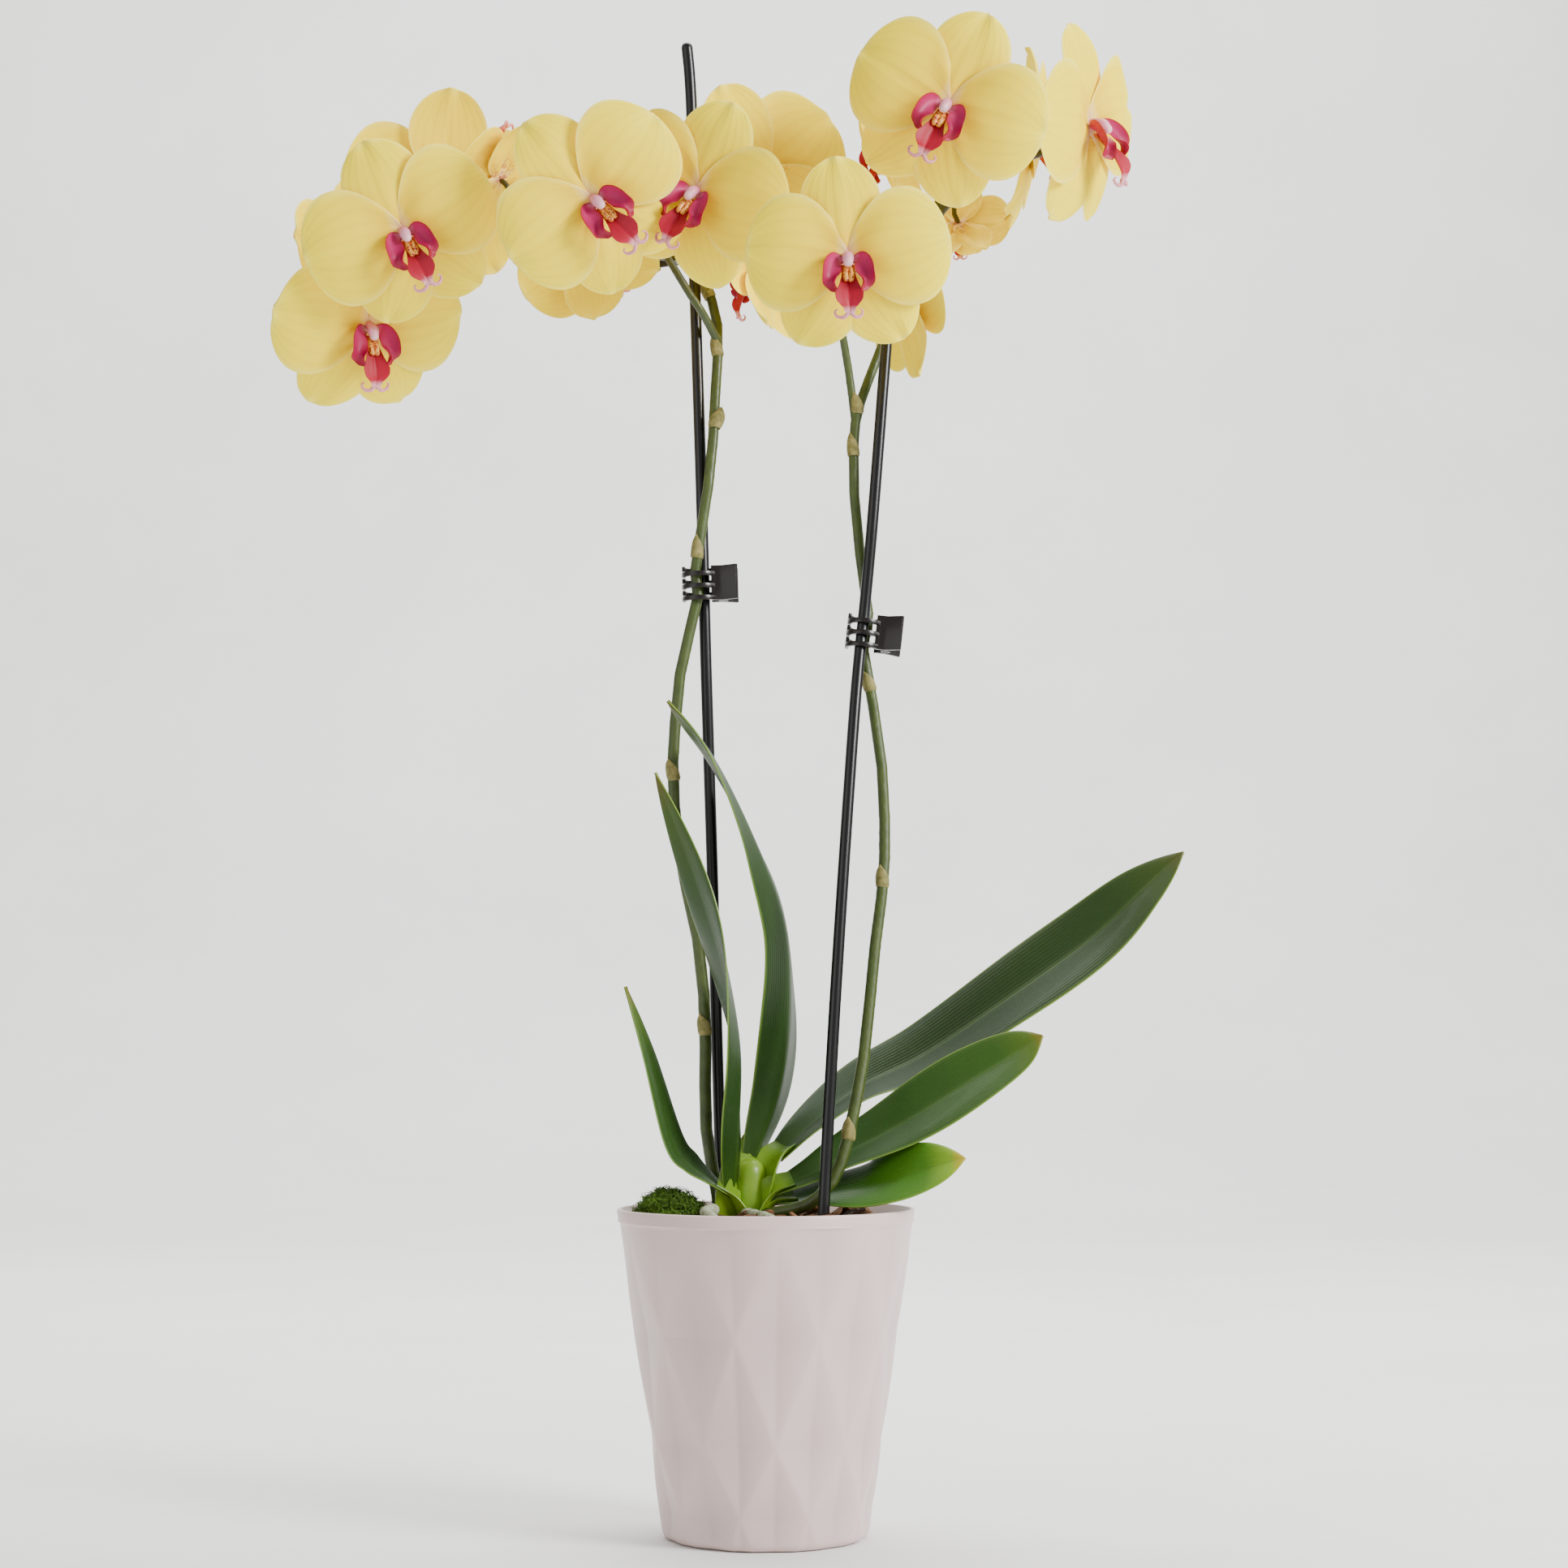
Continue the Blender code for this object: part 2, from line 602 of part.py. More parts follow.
def make_bloom(name, hub, turn, tilt, roll, span, parts, petal, lip):
    """The five petals and sepals of a bloom, grown together at its hub, and its lip with the column."""
    rim = bloom_outline()
    half = 0.5 * span * MM
    frame = bloom_matrix(hub, turn, tilt, roll)

    def place(u, v):
        angle, reach, lean = rim[int(round(u * len(rim))) % len(rim)]
        radius = half * reach * v
        height = half * (lean * v + PETAL_BOW * math.sin(math.pi * v))
        turned = math.radians(angle)
        return Vector((radius * math.cos(turned), radius * math.sin(turned), height))

    tepals = add_object(f"bloom_{name}_petals", bent_grid("petals", len(rim), 2, place), parts, petal)
    tepals.matrix_world = frame
    solidify(tepals, PETAL_THICKNESS)
    lips = add_object(f"bloom_{name}_lip", lip_mesh(span * MM), parts, lip)
    lips.matrix_world = frame


def lip_mesh(span):
    """The column and the lip as one body, lofted through oval sections from the hub to the lip's tip.
    Each section: drop, stand-out from the hub, half width and half thickness, in shares of the lip."""
    size = span * LIP_SPAN_SHARE
    clear = PETAL_THICKNESS / 2 + GAP + LIP_STANDOFF
    sections = ((0.0, 0.0, 0.13, 0.11), (0.02, 0.34, 0.15, 0.13), (0.20, 0.60, 0.36, 0.18),
                (0.48, 0.80, 0.30, 0.10), (0.78, 0.90, 0.22, 0.06), (0.98, 0.86, 0.10, 0.04))
    last = len(sections) + 1

    def place(u, v):
        at = int(round(v * last))
        drop, out, half_width, half_deep = sections[min(max(at - 1, 0), len(sections) - 1)]
        if at in (0, last):
            half_width = half_deep = 0.0
        angle = 2 * math.pi * u
        lean = min(1.0, drop * 2.2)
        across = half_width * math.cos(angle)
        thick = half_deep * math.sin(angle)
        up = -drop + thick * (1 - lean)
        return Vector((across * size, up * size, clear + (out + thick * lean) * size))

    return bent_grid("lip", 8, last, place)


# Spikes and stakes

def clip_grip(clip):
    """The stake's point and lean at a clip, and the middle of the stem that the clip holds."""
    stake, height, toward, _ = CLIPS[clip]
    route = STAKE_ROUTES[stake]
    low, high = 0.0, 1.0
    for _ in range(30):
        middle = (low + high) / 2
        if on_route(route, middle).z < place_mm(0, 0, height).z:
            low = middle
        else:
            high = middle
    lean = along_route(route, middle)
    toward = math.radians(toward)
    reach = STAKE_RADIUS + SPIKE_RADIUS + CLIP_TOUCH_GAP
    at = on_route(route, middle)
    return at, lean, at + reach * Vector((math.cos(toward), math.sin(toward), 0))


def stem_route(stem):
    """A stem's route.  A main stem also runs straight beside its stake through each clip."""
    route = list(STEM_ROUTES[stem])
    for clip, (stake, height, _, _) in CLIPS.items():
        if stake != stem:
            continue
        _, lean, held = clip_grip(clip)
        at = next(i for i, point in enumerate(route) if point.z > held.z)
        route[at:at] = [held - lean * CLIP_STRAIGHT, held, held + lean * CLIP_STRAIGHT]
    return route


def pedicel_route(hub, turn, tilt, roll, stem, share, swing):
    """From inside the stem, out sideways, and straight into the back of the bloom's hub."""
    frame = bloom_matrix(hub, turn, tilt, roll)
    facing = frame.to_3x3() @ Vector((0, 0, 1))
    end = frame @ Vector((0, 0, -(PETAL_THICKNESS / 2 + GAP + PEDICEL_STANDOFF)))
    start = on_route(stem_route(stem), share)
    reach = (end - start).length
    out = start.lerp(end - facing * PEDICEL_OUT_SHARE * reach, 0.5)
    out.z += PEDICEL_RISE_SHARE * reach
    return [start, out + Vector(swing) * MM, end - facing * PEDICEL_NECK_SHARE * reach, end]


def make_spike(name, main, branch, parts, cutters, finish):
    """One grown piece: the main stem, its side branch and every pedicel, joined by a Boolean union."""
    side_shoots = bpy.data.collections.new(f"{name}_shoots")
    cutters.children.link(side_shoots)
    side_shoots.hide_render = True
    branch_route = stem_route(branch)
    shoots = {
        f"{name}_branch": tube_mesh("branch", branch_route, SPIKE_END_RADIUS, BRANCH_END_RADIUS, 8, 8),
    }
    for key, (hub, turn, tilt, roll, _, stem, share) in BLOOMS.items():
        if stem in (main, branch):
            swing = PEDICEL_SWINGS.get(key, (0, 0, 0))
            route = pedicel_route(hub, turn, tilt, roll, stem, share, swing)
            pedicel = tube_mesh("pedicel", route, PEDICEL_RADIUS, PEDICEL_END_RADIUS, 6, 5)
            shoots[f"pedicel_{key}"] = pedicel
    main_stem = tube_mesh(name, stem_route(main), SPIKE_RADIUS, SPIKE_END_RADIUS, 8, 40)
    obj = add_object(name, main_stem, parts, finish)
    for shoot_name, mesh in shoots.items():
        shoot = add_object(shoot_name, mesh, side_shoots)
        shoot.hide_render = True
        shoot.display_type = "WIRE"
        boolean(obj, "UNION", shoot)
    return obj


def make_stakes(parts, finish):
    stakes = (("stake_left", LEFT_STAKE_ROUTE, 16), ("stake_right", RIGHT_STAKE_ROUTE, 14))
    for name, route, rings in stakes:
        add_object(name, tube_mesh(name, route, STAKE_RADIUS, STAKE_RADIUS, 8, rings), parts, finish)


# Claw clips

def plate_mesh(name, outline, low, high):
    """A flat outline in XY, filled and given its thickness along Z."""
    curve = bpy.data.curves.new(name, "CURVE")
    curve.dimensions = "2D"
    curve.fill_mode = "BOTH"
    curve.extrude = 0.5 * (high - low)
    spline = curve.splines.new("POLY")
    spline.points.add(len(outline) - 1)
    for point, (x, y) in zip(spline.points, outline):
        point.co = (x, y, 0, 1)
    spline.use_cyclic_u = True
    obj = bpy.data.objects.new(name, curve)
    bpy.context.scene.collection.objects.link(obj)
    bpy.context.view_layer.update()
    mesh = evaluated_mesh(obj)
    bpy.data.objects.remove(obj)
    bpy.data.curves.remove(curve)
    shape = bmesh.new()
    shape.from_mesh(mesh)
    bpy.data.meshes.remove(mesh)
    bmesh.ops.remove_doubles(shape, verts=shape.verts, dist=WELD)
    bmesh.ops.translate(shape, verts=shape.verts, vec=(0, 0, 0.5 * (low + high)))
    return mesh_from(name, shape)


def band_outline(start, end, inner, outer, steps):
    """The outline of a curved band round the origin between two angles in degrees."""
    angles = [math.radians(start + (end - start) * i / steps) for i in range(steps + 1)]
    outside = [(outer * math.cos(a), outer * math.sin(a)) for a in angles]
    inside = [(inner * math.cos(a), inner * math.sin(a)) for a in reversed(angles)]
    return outside + inside


def clip_bore():
    """The grip goes round the stake and the stem side by side."""
    return STAKE_RADIUS + SPIKE_RADIUS + CLIP_GRIP_SLACK


def clip_hinge():
    return clip_bore() + CLIP_WALL + CLIP_KNUCKLE_RADIUS


def jaw_plate_outline(side):
    """The plate from the grip past the hinge to the end of the thumb tab, on one side of the hinge."""
    near = CLIP_KNUCKLE_RADIUS + GAP
    far = near + CLIP_WALL
    hinge = clip_hinge()
    start = math.sqrt((clip_bore() + 0.4 * CLIP_WALL) ** 2 - near ** 2)
    reach = Vector((math.cos(CLIP_TAB_SPREAD), math.sin(CLIP_TAB_SPREAD))) * CLIP_TAB_LENGTH
    outline = [(start, near), (hinge, near), (hinge + reach.x, near + reach.y),
               (hinge + reach.x - CLIP_WALL * math.sin(CLIP_TAB_SPREAD),
                near + reach.y + CLIP_WALL * math.cos(CLIP_TAB_SPREAD)),
               (hinge - 0.3 * CLIP_WALL, far), (start - CLIP_WALL, far)]
    return [(x, side * y) for x, y in outline]


def ring_mesh(name, inner, outer, low, high):
    """A knuckle: a short tube about the hinge's axis, its bore left open for the pin."""
    profile = [(outer, high), (outer, low), (inner, low), (inner, high), (outer, high)]
    last = len(profile) - 1

    def place(u, v):
        radius, height = profile[min(int(round(v * last)), last)]
        angle = 2 * math.pi * u
        return Vector((clip_hinge() + radius * math.cos(angle), radius * math.sin(angle), height))

    return bent_grid(name, 10, last, place)


def make_jaw_mesh(name, side, cutters):
    """One jaw, on the side of the hinge given by side (-1 or 1), round a grip centred on the origin."""
    half = 0.5 * CLIP_HEIGHT
    split = CLIP_SPLIT_SHARE * CLIP_HEIGHT
    pitch = (CLIP_HEIGHT - CLIP_PRONG_HEIGHT) / (CLIP_PRONGS - 0.5)
    pieces = [plate_mesh("plate", jaw_plate_outline(side), -half, half)]
    outer = [(-half, -split - GAP / 2), (split + GAP / 2, half)]
    knuckles = outer if side < 0 else [(-split + GAP / 2, split - GAP / 2)]
    bore = CLIP_PIN_RADIUS + GAP
    near = CLIP_KNUCKLE_RADIUS + GAP
    hinge = clip_hinge()
    for low, high in knuckles:
        pieces.append(ring_mesh("knuckle", bore, CLIP_KNUCKLE_RADIUS, low, high))
        back, front = side * (bore + CLIP_WEB_BACK), side * (near + CLIP_WEB_FRONT)
        web = [(hinge - bore, back), (hinge + bore, back), (hinge + bore, front), (hinge - bore, front)]
        pieces.append(plate_mesh("web", web, low + CLIP_WEB_INSET, high - CLIP_WEB_INSET))
    first = -half if side < 0 else -half + 0.5 * pitch
    for i in range(CLIP_PRONGS):
        low = first + i * pitch
        band = band_outline(side * CLIP_PRONG_FROM, side * CLIP_PRONG_TO, clip_bore(),
                            clip_bore() + CLIP_WALL, 7)
        pieces.append(plate_mesh("prong", band, low, low + CLIP_PRONG_HEIGHT))
    jaw = add_object(name, pieces[0], cutters)
    for mesh in pieces[1:]:
        piece = add_object(f"{name}_piece", mesh, cutters)
        boolean(jaw, "UNION", piece)
    bpy.context.view_layer.update()
    joined = evaluated_mesh(jaw)
    for obj in [jaw] + [obj for obj in cutters.objects if obj.name.startswith(f"{name}_piece")]:
        bpy.data.objects.remove(obj)
    return joined


def make_clips(parts, cutters, finish):
    """Three alike clips.  Each grips a stake and a spike together, its hinge parallel to the stake."""
    outer_jaw = make_jaw_mesh("fixed_jaw", -1, cutters)
    inner_jaw = make_jaw_mesh("moving_jaw", 1, cutters)
    shape = bmesh.new()
    bmesh.ops.create_cone(shape, cap_ends=True, segments=12, radius1=CLIP_PIN_RADIUS,
                          radius2=CLIP_PIN_RADIUS, depth=CLIP_HEIGHT,
                          matrix=Matrix.Translation((clip_hinge(), 0, 0)))
    pin = mesh_from("pin", shape)
    for name, (_, _, _, turn) in CLIPS.items():
        staked, up, held = clip_grip(name)
        outward = (held - staked).normalized()
        centre = staked.lerp(held, 0.5) + outward * 0.5 * (SPIKE_RADIUS - STAKE_RADIUS)
        across = Vector((math.cos(math.radians(turn)), math.sin(math.radians(turn)), 0))
        side = up.cross(across).normalized()
        frame = Matrix((side.cross(up), side, up)).transposed().to_4x4()
        for piece, mesh in (("fixed_jaw", outer_jaw), ("moving_jaw", inner_jaw), ("pin", pin)):
            obj = add_object(f"{name}_{piece}", mesh, parts, finish)
            obj.matrix_world = Matrix.Translation(centre) @ frame


def main():
    clear_scene()
    parts = new_collection("potted_orchid")
    cutters = new_collection("cutters", hidden=True)
    pot = material("pot_plastic", (0.60, 0.52, 0.50), 0.35)
    grower = material("grower_plastic", (0.08, 0.08, 0.08), 0.4)
    bark = material("bark", (0.16, 0.09, 0.05), 0.9)
    moss = material("moss", (0.10, 0.17, 0.04), 0.95)
    root = material("root", (0.30, 0.33, 0.22), 0.7)
    crown = material("crown", (0.25, 0.36, 0.06), 0.5)
    leaf = material("leaf", (0.05, 0.13, 0.03), 0.4)
    stem = material("stem", (0.12, 0.15, 0.04), 0.5)
    stake = material("stake_plastic", (0.01, 0.01, 0.01), 0.3)
    petal = material("petal", (0.95, 0.75, 0.14), 0.5)
    lip = material("lip", (0.60, 0.03, 0.12), 0.45)
    make_pot(parts, pot)
    make_grower_pot(parts, cutters, grower)
    make_bark(parts, cutters, bark)
    make_moss(parts, moss)
    make_roots(parts, root)
    make_crown(parts, crown)
    for name, (route, width, widest, base_face, tip_face) in LEAVES.items():
        make_leaf(name, route, width, widest, base_face, tip_face, parts, leaf)
    make_stakes(parts, stake)
    make_clips(parts, cutters, stake)
    make_spike("spike_left", "left", "left_branch", parts, cutters, stem)
    make_spike("spike_right", "right", "right_branch", parts, cutters, stem)
    for key, (hub, turn, tilt, roll, span, _, _) in BLOOMS.items():
        make_bloom(key, hub, turn, tilt, roll, span, parts, petal, lip)


if __name__ == "__main__":
    main()
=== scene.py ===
import json
import math

import bmesh
import bpy
import numpy as np
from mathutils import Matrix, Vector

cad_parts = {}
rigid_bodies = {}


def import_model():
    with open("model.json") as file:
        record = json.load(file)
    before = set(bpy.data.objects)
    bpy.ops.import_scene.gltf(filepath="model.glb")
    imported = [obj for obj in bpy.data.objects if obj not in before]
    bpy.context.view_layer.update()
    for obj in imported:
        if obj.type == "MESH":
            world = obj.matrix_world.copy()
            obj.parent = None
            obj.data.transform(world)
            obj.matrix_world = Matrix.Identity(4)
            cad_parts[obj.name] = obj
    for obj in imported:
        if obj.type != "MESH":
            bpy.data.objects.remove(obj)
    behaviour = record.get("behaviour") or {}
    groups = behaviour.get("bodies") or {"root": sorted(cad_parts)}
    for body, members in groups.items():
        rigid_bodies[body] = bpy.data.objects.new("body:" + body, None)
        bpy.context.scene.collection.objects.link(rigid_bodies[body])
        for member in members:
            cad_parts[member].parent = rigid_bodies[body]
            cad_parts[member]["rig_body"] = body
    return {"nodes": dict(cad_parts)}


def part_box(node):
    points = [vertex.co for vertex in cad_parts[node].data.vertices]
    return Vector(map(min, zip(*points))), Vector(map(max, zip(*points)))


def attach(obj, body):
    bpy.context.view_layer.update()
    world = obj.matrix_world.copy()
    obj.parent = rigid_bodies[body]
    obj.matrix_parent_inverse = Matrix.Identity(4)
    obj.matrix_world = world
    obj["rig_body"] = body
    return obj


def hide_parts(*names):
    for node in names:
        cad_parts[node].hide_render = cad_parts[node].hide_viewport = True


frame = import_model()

"""Looks of the potted orchid, laid out as an add-on: every piece is a surface made from whole arrays,
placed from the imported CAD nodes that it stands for.  Metres, +Z up, the front faces -Y."""

bl_info = {
    "name": "Potted Orchid Looks",
    "version": (1, 0, 0),
    "blender": (4, 5, 0),
    "location": "View3D > Sidebar > Orchid",
    "description": "Builds the visual model of a potted orchid round its packed CAD frame",
    "category": "Add Mesh",
}

MM = 0.001
NODES = frame["nodes"]
LEAF_ROWS, LEAF_COLUMNS = 90, 25

# Leaf centre lines in mm from crown to tip, as on a standing plant; each leaf is then fitted to its
# CAD node's box.  With them: widest width in mm, where it falls, how the upper face looks at the base
# and at the tip, how fresh its green is, and how pointed its tip.
LEAVES = {
    "leaf_centre_tall": (
        ((-5, 3, 159), (6, 7, 190), (10, 6, 222), (8, 2, 258), (-4, -7, 292), (-22, -16, 328),
        (-41, -23, 352)), 40, 0.35, (-0.8, 0.7, 0.2), (-0.9, -0.4, 0.3), 0.15, 1.7),
    "leaf_left_tall": (
        ((-14, -10, 147), (-12, -14, 172), (-11, -17, 205), (-17, -20, 240), (-28, -23, 275),
        (-46, -25, 321)), 32, 0.5, (-0.8, 0.5, 0.3), (-0.7, -0.7, 0.2), 0.2, 1.5),
    "leaf_left_small": (
        ((-15, -11, 143), (-25, -14, 150), (-33, -15, 156), (-40, -16, 166), (-50, -18, 202),
        (-59, -21, 231)), 18, 0.5, (0.2, -0.3, 0.9), (0.9, -0.5, 0.3), 0.3, 1.6),
    "leaf_right_large": (
        ((4, 4, 157), (20, 16, 172), (42, 23, 188), (70, 21, 202), (107, 16, 227), (140, 13, 251),
        (162, 11, 272), (180, 10, 289)), 40, 0.6, (-0.5, -0.5, 0.8), (-0.3, -0.8, 0.5), 0.1, 1.9),
    "leaf_right_middle": (
        ((4, -6, 145), (20, -5, 152), (36, -3, 161), (53, -4, 170), (68, -6, 179), (88, -8, 192),
        (107, -10, 204), (117, -12, 211)), 34, 0.6, (-0.4, -0.5, 0.8), (-0.2, -0.8, 0.5), 0.35, 2.0),
    "leaf_right_short": (
        ((4, -3, 139.5), (16, -1, 141), (29, -5, 143.5), (43, -14, 146), (57, -22, 150.5),
        (70, -29, 155.5), (83, -34, 160)), 32, 0.65, (-0.1, -0.3, 1.0), (-0.1, -0.95, 0.62), 1.0, 2.0),
}

DORSAL_SEPAL, PETAL, LOWER_SEPAL = 0, 1, 2

# Place of the camera in metres, its upward tilt in degrees, and its lens and sensor in mm.
CAMERA_PLACE, CAMERA_TILT, CAMERA_LENS, CAMERA_SENSOR = (0.0077, -1.316, 0.2101), 4.706, 70.45, 36.0
# The floor runs flat to its bend and turns up on a round into a wall; all in metres.
FLOOR_HALF_WIDTH, FLOOR_FRONT, FLOOR_BEND, FLOOR_ROUND, WALL_TOP = 14.0, -16.0, 2.0, 1.5, 6.0
AIR_STRENGTH = 0.48

# A bloom's lip is drawn in mm for a bloom of this half span.
LIP_HALF_SPAN = 43.0 * MM

# Faces that meet at more than this angle keep a sharp edge between them.
SHARP_EDGE = math.radians(50)

# Lobes of a bloom: direction in degrees round the hub, length and half width in shares of the half
# span, where it is widest, base width share, tip bluntness, height of its root in mm, lean and kind.
LOBES = {
    "dorsal": (90, 0.97, 0.40, 0.56, 0.22, 2.2, -0.5, -0.02, DORSAL_SEPAL),
    "left_petal": (172, 1.02, 0.57, 0.58, 0.10, 2.6, 0.7, 0.05, PETAL),
    "right_petal": (368, 1.02, 0.57, 0.58, 0.10, 2.6, 0.7, 0.05, PETAL),
    "left_sepal": (239, 0.99, 0.38, 0.55, 0.24, 2.1, -0.4, -0.05, LOWER_SEPAL),
    "right_sepal": (301, 0.99, 0.38, 0.55, 0.24, 2.1, -0.4, -0.05, LOWER_SEPAL),
}


# ---------------------------------------------------------------- arrays and meshes

def mesh_points(mesh):
    """All the vertices of a mesh, in metres."""
    found = np.empty(len(mesh.vertices) * 3, np.float32)
    mesh.vertices.foreach_get("co", found)
    return found.reshape(-1, 3).astype(float)


def node_points(node):
    return mesh_points(NODES[node].data)


def node_box(node):
    """The low and the high corner of a CAD node's box."""
    return [np.array(corner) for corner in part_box(node)]


def unit(vectors):
    return vectors / np.maximum(np.linalg.norm(vectors, axis=-1, keepdims=True), 1e-12)


def square_to(way, tangent):
    """The way less its part along the tangent, at unit length."""
    return unit(way - tangent * np.sum(way * tangent, axis=-1, keepdims=True))


def ribbon(line, way, face, side, lift):
    """A sheet round a line: each row's point, plus side along its way, plus lift along its face."""
    return line[:, None] + way[:, None] * side[..., None] + face[:, None] * lift[..., None]


def smooth_route(route, count):
    """A Catmull-Rom curve through the route's points, sampled evenly in count points."""
    points = np.asarray(route, float)
    padded = np.vstack([2 * points[0] - points[1], points, 2 * points[-1] - points[-2]])
    place = np.linspace(0, len(points) - 1, count)
    i = np.minimum(place.astype(int), len(points) - 2)
    t = (place - i)[:, None]
    a, b, c, d = padded[i], padded[i + 1], padded[i + 2], padded[i + 3]
    return 0.5 * (2 * b + (c - a) * t + (2 * a - 5 * b + 4 * c - d) * t ** 2
                  + (3 * b - a - 3 * c + d) * t ** 3)


def loop_faces(rows, columns):
    """Quads of a grid of rows whose columns close into loops, and the polygons that cap both end rows."""
    i, j = np.meshgrid(np.arange(rows - 1), np.arange(columns), indexing="ij")
    k = (j + 1) % columns
    row, onward = i * columns, (i + 1) * columns
    quads = np.stack([row + j, row + k, onward + k, onward + j], axis=-1)
    first = np.arange(columns)[::-1]
    return quads.reshape(-1, 4), np.stack([first, rows * columns - 1 - first])


def enclosed_volume(points, *groups):
    """Six times the volume inside the faces, each group an array of faces of one size."""
    total = 0.0
    for faces in groups:
        corners = points[faces]
        fan = np.cross(corners[:, 1:-1], corners[:, 2:])
        total += np.einsum("ik,ijk->", corners[:, 0], fan)
    return total


def turned_outwards(points, *groups):
    """The groups of faces, all turned over if they enclose their points inside out."""
    inside_out = enclosed_volume(points - points.mean(0), *groups) < 0
    return [faces[:, ::-1] if inside_out else faces for faces in groups]


class Build:
    """Collects closed grids, with a value per point for each named attribute, into one mesh."""

    def __init__(self, *attributes):
        self.points, self.faces = [], []
        self.values = {name: [] for name in attributes}
        self.count = 0

    def loops(self, grid, **values):
        """A grid (rows, columns, 3) of loops in metres, closed at both ends and faced outwards."""
        rows, columns = grid.shape[:2]
        flat = grid.reshape(-1, 3)
        for faces in turned_outwards(flat, *loop_faces(rows, columns)):
            self.faces += (faces + self.count).tolist()
        self.points.append(flat)
        for name, kept in self.values.items():
            kept.append(np.broadcast_to(values.get(name, 0.0), (rows, columns)).astype(float).reshape(-1))
        self.count += len(flat)

    def finish(self, name, material, slot, *nodes):
        mesh = bpy.data.meshes.new(name)
        mesh.from_pydata(np.vstack(self.points).tolist(), [], self.faces)
        for attribute, kept in self.values.items():
            made = mesh.attributes.new(attribute, "FLOAT", "POINT")
            made.data.foreach_set("value", np.concatenate(kept).astype(np.float32))
        return finish_piece(name, mesh, material, slot, *nodes)


def linked(name, data):
    """A new object of the scene that shows the data."""
    obj = bpy.data.objects.new(name, data)
    bpy.context.scene.collection.objects.link(obj)
    return obj


def finish_piece(name, mesh, material, slot, *nodes, body="root"):
    """Links a mesh as a piece that rides on a body and stands for CAD nodes; the slot is not used."""
    if mesh.validate():
        raise RuntimeError(f"{name} came out with unsound faces")
    mesh.materials.clear()
    mesh.materials.append(look(material))
    mesh.shade_smooth()
    mesh.set_sharp_from_angle(angle=SHARP_EDGE)
    obj = linked(name, mesh)
    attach(obj, body)
    if nodes:
        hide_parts(*nodes)
    return obj


def tube(line, radius, sides=16):
    """Rings round a line: each ring stands square to the line and is carried on without twisting.
    A ring's point is the line's point plus radius times (side cos a + up sin a)."""
    line = np.asarray(line, float)
    tangent = unit(np.gradient(line, axis=0))
    side = unit(np.cross(tangent, np.array([0.31, 0.17, 0.94]) + 0 * tangent))
    up = np.cross(side, tangent)
    angle = np.linspace(0, 2 * np.pi, sides, endpoint=False)
    reach = np.broadcast_to(np.asarray(radius, float), (len(line),))[:, None, None]
    ring = side[:, None] * np.cos(angle)[None, :, None] + up[:, None] * np.sin(angle)[None, :, None]
    return line[:, None] + reach * ring


def rounded_tube(line, radius, sides=16, round_rows=4):
    """A tube whose ends close in a quarter round: the end radius times sin a as the line steps on by
    the radius times cos a."""
    line = np.asarray(line, float)
    radius = np.broadcast_to(np.asarray(radius, float), (len(line),))
    a = np.linspace(0.15, np.pi / 2, round_rows, endpoint=False)
    first, last = unit(line[0] - line[1]), unit(line[-1] - line[-2])
    start = line[0] + first * (radius[0] * np.cos(a))[:, None]
    stop = line[-1] + last * (radius[-1] * np.cos(a[::-1]))[:, None]
    return tube(np.vstack([start, line, stop]),
                np.concatenate([radius[0] * np.sin(a), radius, radius[-1] * np.sin(a[::-1])]), sides)


def shell(middle, thickness):
    """A closed skin round a sheet (rows, columns, 3): its points moved out along the sheet's normals
    by half the thickness, which thins towards both side edges, joined front to back as loops."""
    along = np.gradient(middle, axis=0)
    across = np.gradient(middle, axis=1)
    normal = unit(np.cross(across, along))
    edge = np.linspace(-1, 1, middle.shape[1])
    half = 0.5 * thickness * (0.25 + 0.75 * np.sqrt(np.maximum(1 - edge ** 2, 0)))
    offset = normal * half[None, :, None]
    return np.concatenate([middle + offset, (middle - offset)[:, ::-1]], axis=1)


def outline(v, widest, base, rise_power, blunt, end_power):
    """Half width along a blade, 1 at its widest: it rises from base as a quarter sine to a power and
    ends as (1 - u^blunt)^end_power, where u climbs from 0 at the widest place to 1 at the tip."""
    rise = base + (1 - base) * np.sin(0.5 * np.pi * np.minimum(v / widest, 1)) ** rise_power
    fall = np.clip((v - widest) / (1 - widest), 0, 1)
    return np.where(v < widest, rise, np.maximum(1 - fall ** blunt, 0) ** end_power)


def turned_about_z(grid, angle):
    c, s = math.cos(angle), math.sin(angle)
    x, y = grid[..., 0], grid[..., 1]
    return np.stack([c * x - s * y, s * x + c * y, grid[..., 2]], axis=-1)


def both_sides(values):
    return np.concatenate([values, values[:, ::-1]], axis=1)


def fit_to_node(grid, node):
    """The grid shifted and stretched so that its box is the box of the CAD node it stands for."""
    low, high = node_box(node)
    flat = grid.reshape(-1, 3)
    grid_low, grid_high = flat.min(0), flat.max(0)
    return (grid - grid_low) * ((high - low) / (grid_high - grid_low)) + low


def ripple(x, y, z, seed, count=6):
    """A sum of sine waves in seeded directions, from about -1 to 1: a smooth wandering value."""
    rng = np.random.default_rng(seed)
    total = 0.0
    for _ in range(count):
        kx, ky, kz = rng.normal(0, 1, 3)
        total = total + np.sin(kx * x + ky * y + kz * z + rng.uniform(0, 6.28))
    return total / count ** 0.5


# ---------------------------------------------------------------- materials

